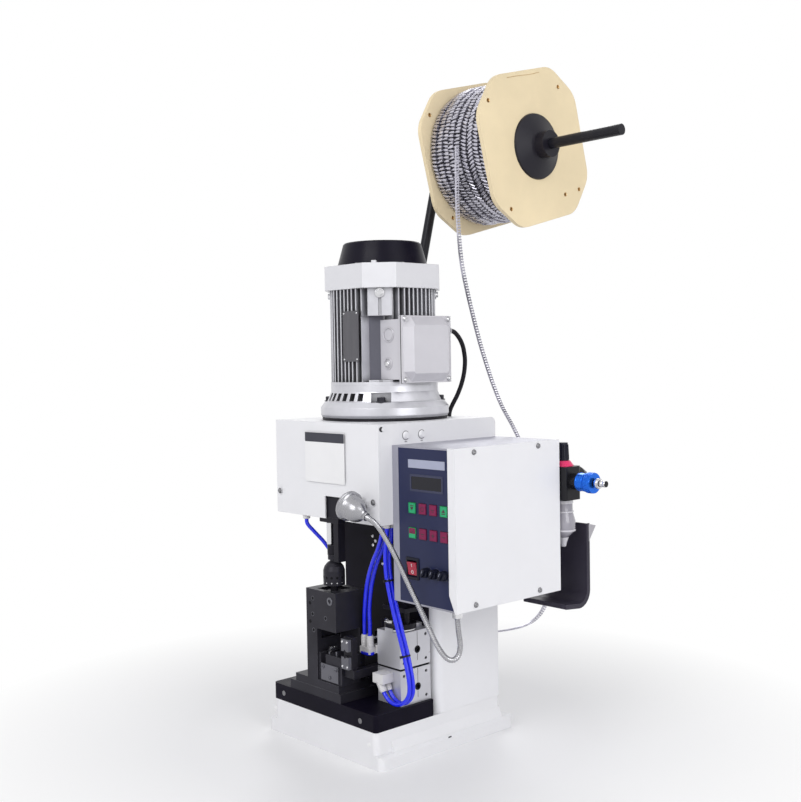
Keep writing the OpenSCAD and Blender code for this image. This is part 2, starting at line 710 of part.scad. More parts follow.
module crankshaft() {
    web_y = press_y + ram_t/2 + 4;
    pin_front = press_y - ram_t/2 + 0.5;
    color([0.6, 0.6, 0.63]) {
        rod_y(axis_x, web_y, gear_face + 22, crank_z, crank_r);
        rod_y(axis_x, web_y, block_front - clear, crank_z, throw + pin_r + 4);
        rod_y(axis_x, pin_front, web_y + 1, crank_z + throw, pin_r);
    }
    // Crown gear keyed on the shaft
    color([0.5, 0.5, 0.52]) {
        difference() {
            rod_y(axis_x, gear_face, gear_face + 12, crank_z, gear_mean_r + tooth_l);
            rod_y(axis_x, gear_face - 1, gear_face + 13, crank_z, crank_r);
        }
        for (i = [0 : gear_teeth - 1]) translate([axis_x, gear_face - 3.3, crank_z])
            rotate([0, (i + 0.5)*360/gear_teeth, 0]) translate([0, 0, gear_mean_r - tooth_l/2])
                rotate([-90, 0, 0]) linear_extrude(3.8)
                    polygon([[-1.1, 0], [1.1, 0], [1.25, -tooth_l], [-1.25, -tooth_l]]);
    }
}

module ram_gibs() {
    // A channel of bronze on each side of the ram
    low = head_z + head_sheet;
    for (side = [0, 1]) translate([axis_x, 0, 0]) mirror([side, 0, 0])
        color([0.75, 0.55, 0.3]) difference() {
            box([ram_w/2 - 4, press_y - ram_t/2 - 1.2, low], [ram_w/2 + gib_t + running, press_y + ram_t/2 + 2, inner_top]);
            box([ram_w/2 - 5, press_y - ram_t/2 - running, low - 1], [ram_w/2 + running, press_y + ram_t/2 + running,
                inner_top + 1]);
        }
}

module ram_slide() {
    y0 = press_y - ram_t/2;
    y1 = press_y + ram_t/2;
    color([0.14, 0.14, 0.16]) difference() {
        box([ram_x0, y0, ram_low], [ram_x0 + ram_w, y1, ram_top]);
        box([axis_x - window_half, y0 - 1, ram_win_low], [axis_x + window_half, y1 + 1, ram_win_high]);
    }
    // Adapter: shoe, bright post, hook bar and the nut that takes the applicator
    color([0.14, 0.14, 0.16]) {
        box([axis_x - 22, y0 + 1, head_z - 7], [axis_x + 22, y1 - 1, ram_low]);
        box([axis_x + 9.5, y0 + 2, nut_z - 24], [axis_x + 20, y1 - 3, head_z - 7]);
        rod_z(axis_x - 2, press_y, nut_z - 15, nut_z, 8.3);
    }
    color([0.8, 0.8, 0.83]) rod_z(axis_x - 6, press_y - 1, nut_z, head_z - 7, 5.2);
}

// Applicator

module applicator_frame() {
    leg_r = axis_x - 10;
    slot_w = 12.4;
    color([0.2, 0.2, 0.23]) difference() {
        union() {
            box([app_x0 - 44, app_front - 0.4, bed_top], [app_x0 + app_w + 8, app_back + 12, bed_top + 14]);
            box([app_x0 - 30, app_front, bed_top + 14], [app_x0 + app_w + 4, app_back + 6, bed_top + 26]);
            box([app_x0, app_front, bed_top + 26], [leg_r, app_back, win_high]);
            box([app_x0, press_y + channel_half, bed_top + 26], [app_x0 + app_w, app_back, win_high]);
            box([app_x0, app_front, win_high], [app_x0 + app_w, app_back, app_top]);
            box([leg_r - 1, app_front + 3, bed_top + 26], [app_x0 + app_w + 8, press_y + 12, win_low - 4]);
        }
        // Square channel that guides the ram
        box([axis_x - channel_half, press_y - channel_half, app_ram_z0 - stroke - 1],
            [axis_x + channel_half, press_y + channel_half, app_top + 1]);
        // Slot for the anvil and the track of the terminal strip
        box([axis_x - slot_w/2, app_front + 2, bed_top + 26], [axis_x + slot_w/2, press_y + 8, win_low]);
        box([axis_x - 7, press_y + channel_half - 1, strip_slot_z - 6], [axis_x + 7, app_back + 1, strip_slot_z + 7]);
        // Two threaded holes in the front
        for (z = [app_top - 22, app_top - 50]) rod_y(app_x0 + 9, app_front - 1, app_front + 7, z, 3);
    }
    // Ears and pin for the feed lever
    color([0.25, 0.25, 0.28]) {
        for (x = [axis_x - 13, axis_x + 9]) box([x, app_back, app_top - 24], [x + 4, app_back + 12, app_top - 10]);
        rod_x(axis_x - 13, axis_x + 13, app_back + 6, app_top - 17, 2);
    }
}

module anvil() {
    color([0.75, 0.75, 0.78]) {
        box([axis_x - 6, press_y - 14, bed_top + 26], [axis_x + 6, press_y + 6, win_low - 8]);
        box([axis_x - 3, press_y - 12, win_low - 8], [axis_x + 3, press_y + 2, anvil_top - 2]);
        for (y = [press_y - 11, press_y - 3]) along_y(y, y + 4)
            polygon([[axis_x - 2.4, anvil_top - 3], [axis_x + 2.4, anvil_top - 3], [axis_x + 1.6, anvil_top],
                [axis_x, anvil_top - 0.8], [axis_x - 1.6, anvil_top]]);
    }
}

module applicator_ram() {
    color([0.3, 0.3, 0.33]) {
        box([axis_x - app_ram_half, press_y - app_ram_half, app_ram_z0],
            [axis_x + app_ram_half, press_y + app_ram_half, app_top - 4]);
        rod_z(axis_x, press_y, app_top - 5, dial_z + dial_h + 3, 6);
        rod_z(axis_x, press_y, dial_z + dial_h + 3, nut_z - 15, 9);
    }
}

module crimper() {
    color([0.85, 0.85, 0.88]) for (y = [press_y - 11.5, press_y - 3.5]) along_y(y, y + 5)
        polygon([[axis_x - 8, app_ram_z0], [axis_x - 8, crimper_z], [axis_x - 3.4, crimper_z],
            [axis_x - 2.6, crimper_z + 5], [axis_x - 1.2, crimper_z + 7], [axis_x, crimper_z + 6],
            [axis_x + 1.2, crimper_z + 7], [axis_x + 2.6, crimper_z + 5], [axis_x + 3.4, crimper_z],
            [axis_x + 8, crimper_z], [axis_x + 8, app_ram_z0]]);
}

module height_dial() {
    color([0.25, 0.25, 0.28]) translate([axis_x, press_y, dial_z]) difference() {
        rotate_extrude() polygon([[0, 0], [dial_r, 0], [dial_r, dial_h*0.62], [dial_r - 2, dial_h*0.8],
            [dial_r - 6, dial_h*0.94], [dial_r - 9, dial_h], [0, dial_h]]);
        translate([0, 0, -1]) cylinder(h = dial_h + 2, r = 6 + running);
    }
}

module feed_lever() {
    x0 = axis_x - 8.5;
    color([0.35, 0.35, 0.38]) difference() {
        union() {
            along_x(x0, x0 + 17) polygon([[app_back + 3, app_top - 13], [app_back + 9, app_top - 13],
                [app_back + 9, strip_slot_z + 22], [app_back + 5, strip_slot_z + 7], [app_back + 3, strip_slot_z + 10],
                [app_back + 4.5, strip_slot_z + 24], [app_back + 3, app_top - 30]]);
            rod_x(x0, x0 + 17, app_back + 6, app_top - 17, 4.6);
        }
        rod_x(x0 - 1, x0 + 18, app_back + 6, app_top - 17, 2 + running);
    }
}

// Stripping unit

module strip_actuator() {
    color([0.75, 0.75, 0.78]) for (z = [bed_top, block2_z0]) difference() {
        box([block_x0, block_y0, z], [block_x1, wall_front, z + block_h]);
        for (y = [block_y0 + 7, wall_front - 9], dz = [8, block_h - 8]) rod_x(block_x1 - 5, block_x1 + 1, y, z + dz, 2.3);
        rod_x(block_x1 - 7, block_x1 + 1, block_y0 + 34, z + block_h/2 - 2, 4.2);
    }
    color([0.1, 0.1, 0.12]) box([block_x0 + 2, block_y0 + 2, block_z1], [block_x1 - 2, wall_front, block2_z0]);
    // Rail that the carriage runs on
    color([0.6, 0.6, 0.62]) box([block_x1 - block_w/2 - 8, block_y0, block2_z1],
        [block_x1 - block_w/2 + 8, wall_front, block2_z1 + 5]);
}

module strip_slide() {
    mid_x = block_x1 - block_w/2;
    rail_gap = running;
    disc_y = (block_y0 + wall_front - strip_travel)/2;
    disc_r = (wall_front - strip_travel - clear - block_y0)/2 - 0.3;
    arm_z = jaw_z - 36;
    color([0.1, 0.1, 0.12]) difference() {
        union() {
            rod_z(mid_x, disc_y, slide_z, slide_z + 10, disc_r);
            // The arm goes down the block's side behind the elbow, then forward to the jaws' holder
            box([block_x0 - 12, disc_y - 6, slide_z], [block_x0 + 12, disc_y + 6, slide_z + 10]);
            box([block_x0 - 12, disc_y - 6, arm_z], [block_x0 - clear, disc_y + 6, slide_z + 10]);
            box([block_x0 - 12, holder_y - 10, arm_z], [block_x0 - clear, disc_y + 6, arm_z + 12]);
            box([holder_x0, holder_y - 10, arm_z], [holder_x0 + 18, holder_y, jaw_z + 24]);
            box([mid_x - 25, disc_y - 12, slide_z + 28], [mid_x + 25, disc_y + 12, slide_z + 34]);
        }
        box([mid_x - 8 - rail_gap, block_y0 - 40, slide_z - 1], [mid_x + 8 + rail_gap, wall_front + 40,
            block2_z1 + 5 + rail_gap]);
    }
    color([0.5, 0.5, 0.52]) for (x = [mid_x - 14, mid_x + 14]) rod_z(x, disc_y, slide_z + 10, slide_z + 28, 4);
}

// One jaw with its V blade; the lower one is the upper one turned over
module jaw(up) {
    x0 = holder_x0 + 1;
    y1 = holder_y - 10 - clear;
    z0 = 4.2;
    module outline() {
        polygon([[x0, z0], [x0 + 5, z0], [x0 + 8, z0 + 3], [x0 + 11, z0], [x0 + 16, z0], [x0 + 16, z0 + 18], [x0, z0 + 18]]);
    }
    translate([0, 0, jaw_z]) mirror([0, 0, up ? 0 : 1]) color([0.8, 0.8, 0.83]) along_y(y1 - 6, y1) outline();
}
module jaw_upper() { jaw(true); }
module jaw_lower() { jaw(false); }

// Control box

module control_box() {
    color([0.62, 0.62, 0.66]) difference() {
        box([head_r, box_front, box_z], [box_r - box_sheet, box_rear, box_top]);
        box([head_r + box_sheet, box_front - 1, box_z + box_sheet],
            [box_r, box_rear - box_sheet, box_top - box_sheet]);
    }
    // Bare strip that closes the front beside the panel
    color([0.7, 0.7, 0.74]) box([head_r + box_sheet, box_front, box_z + box_sheet], [panel_l, box_front + panel_t,
        box_top - box_sheet]);
    // Holder of the lamp's neck, and the mains inlet at the back
    color([0.6, 0.6, 0.62]) rod_z(244, -92, 236, box_z, 6);
    color([0.1, 0.1, 0.1]) box([head_r + 10, box_rear, box_z + 20], [head_r + 40, box_rear + 5, box_z + 44]);
}

module control_cover() {
    inner = box_r - box_sheet;
    color("white") {
        box([inner, box_front - box_sheet, box_z - 0.6], [box_r, box_rear, box_top + 0.6]);
        // Lip on the front, cut away at its foot
        translate([0, box_front, 0]) rotate([90, 0, 0]) linear_extrude(box_sheet)
            polygon([[panel_r, box_z + 23], [box_r - 3, box_z - 0.6], [box_r, box_z - 0.6], [box_r, box_top + 0.6],
                [panel_r, box_top + 0.6]]);
    }
    color([0.6, 0.6, 0.62]) for (y = [box_front + 35, box_rear - 48], z = [box_z + 7, box_top - 6])
        screw_side(box_r, y, z, 3.2);
}

module control_panel() {
    back = box_front + panel_t;
    color([0.14, 0.15, 0.25]) difference() {
        box([panel_l, box_front, box_z + box_sheet], [box_r - box_sheet, back, box_top - box_sheet]);
        for (i = [0 : 7]) key_hole(i);
        box([rocker_x - 10.5, box_front - 1, rocker_z - 12.5], [rocker_x + 10.5, back + 1, rocker_z + 12.5]);
        for (i = [0 : 2]) rod_y(selector_x0 + i*selector_pitch, box_front - 1, back + 1, selector_z, 3.5 + running);
        box([display_x - 31, box_front - 1, display_z - 10], [display_x + 31, box_front + 1.2, display_z + 10]);
    }
    // Display glass
    color([0.05, 0.05, 0.07]) box([display_x - 31, box_front + 0.2, display_z - 10],
        [display_x + 31, box_front + 1.2, display_z + 10]);
    // Bezel and body of the power switch, with its pivot
    color([0.05, 0.05, 0.05]) {
        difference() {
            box([rocker_x - 12.5, box_front - 1.5, rocker_z - 14], [rocker_x + 12.5, box_front, rocker_z + 14]);
            box([rocker_x - 10, box_front - 2, rocker_z - 12], [rocker_x + 10, box_front + 1, rocker_z + 12]);
        }
        difference() {
            box([rocker_x - 10.5, box_front, rocker_z - 12.5], [rocker_x + 10.5, back + 18, rocker_z + 12.5]);
            box([rocker_x - 9.5, box_front - 1, rocker_z - 11.5], [rocker_x + 9.5, back + 10, rocker_z + 11.5]);
        }
        rod_x(rocker_x - 10, rocker_x + 10, rocker_y, rocker_z, 1.5);
    }
}

function key_x(i) = key_x0 + (i % 4)*key_pitch;
function key_z(i) = key_z_top - floor(i/4)*key_row_pitch;
module key_hole(i) {
    translate([key_x(i) - key_w/2 - clear, box_front - 1, key_z(i) - key_h/2 - clear])
        cube([key_w + 2*clear, panel_t + 2, key_h + 2*clear]);
}
module key(i) {
    back = box_front + panel_t;
    green = i == 0 || i == 3 || i == 4;
    color(green ? [0.1, 0.5, 0.25] : [0.75, 0.08, 0.25]) {
        box([key_x(i) - key_w/2, box_front - 1.2, key_z(i) - key_h/2], [key_x(i) + key_w/2, back + clear, key_z(i) + key_h/2]);
        box([key_x(i) - key_w/2 - 1.6, back + clear, key_z(i) - key_h/2 - 1.6],
            [key_x(i) + key_w/2 + 1.6, back + 2, key_z(i) + key_h/2 + 1.6]);
    }
}
module key_1() { key(0); }
module key_2() { key(1); }
module key_3() { key(2); }
module key_4() { key(3); }
module key_5() { key(4); }
module key_6() { key(5); }
module key_7() { key(6); }
module key_8() { key(7); }

module power_rocker() {
    color([0.85, 0.1, 0.15]) difference() {
        along_x(rocker_x - 9, rocker_x + 9) polygon([[rocker_y - 5.6, rocker_z + 9.2], [rocker_y - 3.6, rocker_z],
            [rocker_y - 2.6, rocker_z - 9.4], [rocker_y + 2, rocker_z - 8.6], [rocker_y + 7, rocker_z - 4],
            [rocker_y + 7, rocker_z + 4], [rocker_y + 2, rocker_z + 8.6]]);
        rod_x(rocker_x - 10, rocker_x + 10, rocker_y, rocker_z, 1.5 + running);
    }
}

module selector(i) {
    x = selector_x0 + i*selector_pitch;
    color([0.07, 0.07, 0.09]) {
        difference() {
            rod_y(x, box_front - 10, box_front - clear, selector_z, selector_r);
            box([x - 0.6, box_front - 11, selector_z], [x + 0.6, box_front - 9, selector_z + selector_r + 1]);
        }
        rod_y(x, box_front - 1, box_front + panel_t + 2, selector_z, 3.5);
        rod_y(x, box_front + panel_t + clear, box_front + panel_t + 2.4, selector_z, 5);
    }
}
module selector_1() { selector(0); }
module selector_2() { selector(1); }
module selector_3() { selector(2); }

module circuit_boards() {
    left = head_r + box_sheet;
    key_board_y = box_front + panel_t + 2 + key_travel + 0.6;
    // Board behind the keys, on two side rails
    color([0.1, 0.4, 0.2]) box([panel_l + 2, key_board_y, key_z_top - key_row_pitch - 16],
        [box_r - box_sheet - 2, key_board_y + 1.6, display_z + 14]);
    color([0.6, 0.6, 0.6]) box([left, key_board_y, key_z_top - key_row_pitch - 16], [panel_l + 2, key_board_y + 1.6,
        display_z + 14]);
    // Drive for the motor, transformer, and relays on the back plate
    color([0.3, 0.3, 0.33]) box([left, box_front + 60, box_z + 90], [left + 70, box_front + 130, box_z + 190]);
    color([0.55, 0.35, 0.2]) box([left, box_front + 70, box_z + box_sheet], [left + 60, box_front + 130, box_z + 60]);
    color([0.1, 0.4, 0.2]) box([left, box_front + 145, box_z + 30], [left + 3, box_front + 205, box_z + 190]);
    color([0.1, 0.1, 0.1]) for (z = [50 : 30 : 140]) box([left + 3, box_front + 155, box_z + z],
        [left + 18, box_front + 175, box_z + z + 20]);
}

// Air parts

reg_x = box_r - 12;
reg_y = box_rear + 22;
reg_z = box_z + 160;

module air_regulator() {
    color([0.08, 0.08, 0.1]) {
        difference() {
            union() {
                translate([reg_x - 20, reg_y - 20, reg_z - 28]) linear_extrude(50) round_rect(40, 40, 7);
                // Bracket on the box's rear face
                box([reg_x - 14, box_rear, reg_z - 18], [reg_x + 8, reg_y - 19, reg_z + 14]);
                rod_x(reg_x + 19, reg_x + 32, reg_y, reg_z, 12);
                // Port on the far side, closed by a tapered plug
                translate([reg_x, reg_y + 19, reg_z + 2]) rotate([-90, 0, 0]) rotate_extrude()
                    polygon([[0, 0], [18.5, 0], [18.5, 13], [16, 19], [10, 30], [0, 30]]);
            }
            rod_z(reg_x, reg_y, reg_z + 12, reg_z + 23, 6 + running);
        }
    }
    // Flared lock ring under the knob
    color([0.9, 0.1, 0.35]) translate([reg_x, reg_y, reg_z + 22]) rotate_extrude()
        polygon([[6 + running, 0], [16, 0], [15.5, 1.5], [10.5, 8], [6 + running, 8]]);
    // Clear bowl and drain
    color([0.7, 0.7, 0.75, 0.5]) translate([reg_x, reg_y, reg_z]) rotate_extrude()
        polygon([[0, -99], [3.5, -99], [5, -92], [8, -84], [13, -79], [18, -73], [18, -60], [15.5, -52],
            [14, -46], [14, -28], [0, -28]]);
    // Plug side of the quick coupler
    color([0.75, 0.75, 0.77]) {
        rod_x(reg_x + 32, reg_x + 62.6, reg_y, reg_z, 6);
        rod_x(reg_x + 62.6, reg_x + 68.4, reg_y, reg_z, 7.5);
        rod_x(reg_x + 68.4, reg_x + 80.4, reg_y, reg_z, 4.5);
    }
}

module regulator_knob() {
    color([0.1, 0.1, 0.12]) {
        translate([reg_x, reg_y, reg_z + 30 + clear]) cylinder(h = 27 - clear, r1 = reg_knob_r, r2 = reg_knob_r - 1.5);
        rod_z(reg_x, reg_y, reg_z + 14, reg_z + 31, 6);
    }
}

module coupler_sleeve() {
    color([0.1, 0.4, 0.9]) difference() {
        union() {
            rod_x(reg_x + 32 + clear, reg_x + 46, reg_y, reg_z, 13.5);
            rod_x(reg_x + 45, reg_x + 49, reg_y, reg_z, 12.3);
            rod_x(reg_x + 48, reg_x + 59, reg_y, reg_z, 15);
        }
        rod_x(reg_x + 31, reg_x + 60, reg_y, reg_z, 6 + running);
    }
}

module air_fittings() {
    // Twin elbow on the upper block
    color([0.9, 0.9, 0.9]) {
        box([41, -96, 146], [63, -84, 156]);
        box([56, -84, 147], [block_x0, -73, 159]);
        for (x = [46, 58]) rod_z(x, -90, 155, 172, air_r + 2.2);
    }
    // Twin elbow on the front of the lower block
    color([0.9, 0.9, 0.9]) {
        box([82, -107, 112], [104, block_y0, 126]);
        for (y = [-102, -91]) translate([100.2, y, 101]) rotate([0, -33, 0]) cylinder(h = 17, r = air_r + 2.1);
    }
    // Bulkheads under the head, and the applicator's own fitting
    color([0.85, 0.85, 0.87]) {
        for (p = [[98, -98], [98, -88], [112, -101], [112, -91]]) rod_z(p[0], p[1], 341, head_z, 4.8);
        rod_z(-56, -117, 341, head_z, 5.5);
        rod_z(-22, -86, app_top, 262, 5.5);
    }
}

module tube_left() {
    color([0.1, 0.2, 0.9]) tube_along(tube_left_line, 3, 3, 8, [0, 1, 0], 2);
}
module tube_middle() {
    color([0.1, 0.2, 0.9]) {
        tube_along(tube_middle_a_line, air_r, air_r, 10, [0, 1, 0], 2);
        tube_along(tube_middle_b_line, air_r, air_r, 10, [0, 1, 0], 2);
    }
}
module tube_right() {
    color([0.1, 0.2, 0.9]) {
        tube_along(tube_right_a_line, air_r, air_r, 10, [0, 1, 0], 2);
        tube_along(tube_right_b_line, air_r, air_r, 10, [0, 1, 0], 2);
    }
}

module solenoid_valve() {
    // Pair of valves inside the column, on its right side
    x1 = head_r - column_sheet;
    color([0.6, 0.6, 0.65]) for (z = [0, 34]) {
        box([x1 - 24, column_front + 60, 230 + z], [x1, column_front + 110, 254 + z]);
        box([x1 - 20, column_front + 40, 233 + z], [x1 - 4, column_front + 60, 251 + z]);
    }
}

// Section of the tray between two depths from its back
module tray_section(near, far) {
    wall_y = box_rear + 62;
    low = box_z - 33;
    bowl_r = 26;
    difference() {
        translate([wall_y - bowl_r, low + bowl_r]) circle(bowl_r - near);
        translate([wall_y - bowl_r, low + bowl_r]) circle(bowl_r - far);
        translate([wall_y - bowl_r - 100, low - 1]) square([100, 100]);
        translate([wall_y - bowl_r - 1, low + bowl_r]) square([100, 100]);
    }
    translate([wall_y - far, low + bowl_r]) square([far - near, 100]);
    polygon([[box_rear + 5, low + 3 + near], [wall_y - bowl_r, low + near], [wall_y - bowl_r, low + far],
        [box_rear + 5, low + 3 + far]]);
}

module tray() {
    // Curved sheet with its sides and front folded back, on an arm from the box's rear face
    x1 = box_r + 6;
    x0 = x1 - tray_w;
    wall_y = box_rear + 62;
    low = box_z - 33;
    fold = tray_sheet + 5;
    color([0.28, 0.27, 0.31]) {
        along_x(x0, x1) tray_section(5, fold);
        along_x(x0, x0 + tray_sheet) tray_section(0, fold);
        along_x(x1 - tray_sheet, x1) {
            tray_section(0, fold);
            polygon([[wall_y - 2, low + 98], [wall_y + 15, low + 121], [wall_y - 2, low + 125]]);
        }
        box([x0, box_rear + 5, low + 3], [x1, box_rear + 5 + tray_sheet, low + 3 + fold]);
        box([x0 - 3, box_rear, low + 40], [x0, wall_y, low + 70]);
    }
}

// Lamp

module lamp_neck() {
    color([0.75, 0.75, 0.77]) tube_along(neck_line, 4, 4, 10, [1, 0, 0], 2);
}

module lamp_head() {
    // Shade of revolution whose axis runs on from the neck's end
    color([0.75, 0.75, 0.77]) translate(neck_end) rotate([0, -72, 0]) translate([0, 0, 0.15])
        difference() {
            rotate_extrude() polygon([[0, 0], [6, 0], [8, 8], [16, 18], [19, 36], [22, 38], [22, 44], [0, 44]]);
            translate([0, 0, 41]) cylinder(h = 4, r = 18);
        }
}

// Reel

module reel_stand() {
    low = [mast_x, mast_y, mast_bend_z];
    high = [rod_x0, reel_y, reel_z - 15];
    dir = high - low;
    color([0.1, 0.1, 0.12]) {
        rod_z(mast_x, mast_y, head_z + 40, mast_bend_z + 1, rod_r);
        translate(low) rotate([0, acos(dir[2]/norm(dir)), atan2(dir[1], dir[0])]) cylinder(h = norm(dir), r = rod_r - 0.1);
        translate(high) rotate([0, 45, 0]) cylinder(h = norm([15, 15]), r = rod_r - 0.2);
        rod_x(rod_x0 + 13, rod_x1, reel_y, reel_z, rod_r);
        // Plate and two saddles that hold the mast on the head's back
        box([mast_x - 25, head_rear, head_z + 50], [mast_x + 25, head_rear + 3, head_top - 12]);
        for (z = [head_z + 60, head_top - 34]) box([mast_x - 14, head_rear + 3, z], [mast_x + 14, mast_y + rod_r + 4, z + 14]);
        // Collar that stops the reel from walking in
        rod_x(reel_x0 - 42, reel_x0 - 32, reel_y, reel_z, 14);
    }
}

module reel_outline(across, cut) {
    offset(r = 40) offset(delta = -40) intersection() {
        square(across, center = true);
        rotate(45) square(2*cut, center = true);
    }
}

module reel() {
    color([0.92, 0.86, 0.7]) translate([0, reel_y, reel_z]) rotate([reel_turn, 0, 0]) {
        for (x = [reel_x0, reel_x1 - reel_flange_t]) translate([x, 0, 0]) rotate([90, 0, 90])
            linear_extrude(reel_flange_t) difference() {
                reel_outline(reel_across, reel_cut);
                circle(reel_bore_r);
                for (p = [[-88, 80], [-82, -81], [85, -80], [77, 81], [49, -82]]) translate(p) circle(3);
            }
        translate([reel_x0 + reel_flange_t, 0, 0]) rotate([0, 90, 0]) difference() {
            cylinder(h = reel_w - 2*reel_flange_t, r = 45);
            translate([0, 0, -1]) cylinder(h = reel_w, r = 38);
        }
    }
}

module strip_pack() {
    color([0.72, 0.7, 0.75]) difference() {
        rod_x(reel_x0 + reel_flange_t + 0.5, reel_x1 - reel_flange_t - 0.5, reel_y, reel_z, pack_r);
        rod_x(reel_x0, reel_x1, reel_y, reel_z, 45);
    }
}

module reel_clamp() {
    // Cone plates on both sides, each with its hub
    for (side = [0, 1]) {
        x = side == 0 ? reel_x0 : reel_x1;
        s = side == 0 ? -1 : 1;
        color([0.13, 0.13, 0.16]) translate([x, reel_y, reel_z]) rotate([0, s*90, 0]) difference() {
            rotate_extrude() polygon([[rod_r + running, -6], [reel_bore_r - 1, -6], [reel_bore_r - 1, 0], [50, 0],
                [49, 3], [24, 12], [20, 13], [20, 30], [rod_r + running, 30]]);
        }
    }
}

module terminal_strip() {
    color([0.75, 0.75, 0.78]) tube_along(strip_line, 4, 1.5, 8, [1, 0, 0], 2);
}

base();
bed_plate();
c_frame();
column_casing();
head_casing();
head_cover();
motor_flange();
motor_frame();
motor_end_band();
fan_cowl();
junction_box();
motor_cable();
control_box();
control_cover();
control_panel();
circuit_boards();
bearings();
ram_gibs();
applicator_frame();
anvil();
strip_actuator();
air_fittings();
tube_left();
tube_middle();
tube_right();
air_regulator();
tray();
lamp_neck();
lamp_head();
reel_stand();
terminal_strip();
solenoid_valve();
rotor();
motor_fan();
crankshaft();
ram_slide();
applicator_ram();
crimper();
height_dial();
feed_lever();
strip_slide();
jaw_upper();
jaw_lower();
power_rocker();
reel();
strip_pack();
reel_clamp();
key_1();
key_2();
key_3();
key_4();
key_5();
key_6();
key_7();
key_8();
selector_1();
selector_2();
selector_3();
regulator_knob();
coupler_sleeve();
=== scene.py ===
# %% [markdown]
# # A bench press that strips and crimps wire ends
# The measured model comes in first and stays where it is. Everything below dresses it: a surface for
# each piece, finer meshes where the plain solid is too simple, the free cords at their real length, and
# a plain studio around it all. Lengths are in millimetres until a helper turns them into metres.

# %% Load the measured frame
import math
import random
from contextlib import contextmanager

import bmesh
import bpy
from mathutils import Matrix, Vector


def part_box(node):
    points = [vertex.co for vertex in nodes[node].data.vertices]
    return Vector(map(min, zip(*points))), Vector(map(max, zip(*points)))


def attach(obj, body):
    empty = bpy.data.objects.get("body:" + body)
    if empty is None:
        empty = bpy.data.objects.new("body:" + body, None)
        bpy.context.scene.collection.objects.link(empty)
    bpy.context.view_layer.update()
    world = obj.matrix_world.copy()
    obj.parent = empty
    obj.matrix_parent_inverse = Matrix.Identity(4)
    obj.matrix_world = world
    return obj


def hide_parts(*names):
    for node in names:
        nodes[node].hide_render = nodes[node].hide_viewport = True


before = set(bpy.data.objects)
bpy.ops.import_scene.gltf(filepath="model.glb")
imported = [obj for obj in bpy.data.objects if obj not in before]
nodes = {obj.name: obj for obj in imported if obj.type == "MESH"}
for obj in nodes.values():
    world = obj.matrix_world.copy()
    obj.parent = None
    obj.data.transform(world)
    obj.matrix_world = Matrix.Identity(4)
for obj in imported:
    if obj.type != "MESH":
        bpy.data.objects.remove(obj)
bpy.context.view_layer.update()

MM = 0.001
scene = bpy.context.scene
scene.view_settings.view_transform = "Standard"

# %% [markdown]
# ## The camera
# The photograph was taken from the front right, a little above the bed, with a normal lens. The place
# and the three directions below were solved from the machine's own straight edges, so the picture's
# frame and the real one agree. Writing the camera's matrix from its directions keeps its slight roll.

# %% Set the camera at the photograph's viewing angle
CAMERA_PLACE = Vector((1.2942, -1.1461, 0.5820))
CAMERA_LOOK = Vector((-0.73899, 0.67270, -0.03701)).normalized()
CAMERA_RIGHT = Vector((0.67353, 0.73897, -0.01671)).normalized()
LENS_LENGTH, SENSOR_WIDTH = 49.42, 36


def axes_at(place, x, y, z):
    """Matrix of a local frame, from its place and the directions of its three axes."""
    return Matrix.Translation(Vector(place)) @ Matrix((x, y, z)).transposed().to_4x4()


def show(name, data):
    """Put a mesh, curve, lamp or camera in the scene as an object."""
    made = bpy.data.objects.new(name, data)
    scene.collection.objects.link(made)
    return made


camera = show("camera", bpy.data.cameras.new("camera"))
camera.data.lens = LENS_LENGTH
camera.data.sensor_width = SENSOR_WIDTH
camera.matrix_world = axes_at(CAMERA_PLACE, CAMERA_RIGHT, CAMERA_RIGHT.cross(CAMERA_LOOK), -CAMERA_LOOK)
scene.camera = camera
print("camera", CAMERA_PLACE)

# %% [markdown]
# ## Surfaces from nodes
# Every finish here is a mixture of the same few things: a colour that wanders a little, a roughness
# that wanders too, a fine grain in the bump, and edges that are slightly round and slightly rubbed. Where
# edges are painted lighter, that is partly wear and partly a painted highlight, and some finishes get
# painted shade in their crevices. One function wires those up, and each finish of the machine names its
# own amounts. The Bevel node turns the normal near an edge, so a sheet edge catches the light as a real
# one does.

# %% Helpers that add and wire nodes
def feed(tree, node, *values, **inputs):
    """Fill a node's inputs by order or name. A socket is linked, anything else becomes the value."""
    named = {key.replace("_", " "): value for key, value in inputs.items()}
    for key, value in [*enumerate(values), *named.items()]:
        if isinstance(value, bpy.types.NodeSocket):
            tree.links.new(value, node.inputs[key])
        else:
            node.inputs[key].default_value = value


def add(tree, kind, output, *values, settings=None, **inputs):
    """Add a shader node with its settings and inputs, and return one of its outputs."""
    node = tree.nodes.new("ShaderNode" + kind)
    for key, value in (settings or {}).items():
        setattr(node, key, value)
    feed(tree, node, *values, **inputs)
    return node.outputs[output]


print("node helpers ready")

# %% Helper that builds a finish
CLOUD_LOW, CLOUD_HIGH = 0.3, 0.7
HAZE_FINER = 3.1
EDGE_STARTS, EDGE_FULL = 0.985, 0.80
SHADE_FULL, SHADE_ENDS = 0.25, 0.95
CREVICE_DEPTH = 12 * MM
SMOOTHEST = 0.02
FEW_RAYS = {"samples": 4}
MULTIPLY = {"operation": "MULTIPLY"}
finishes = {}


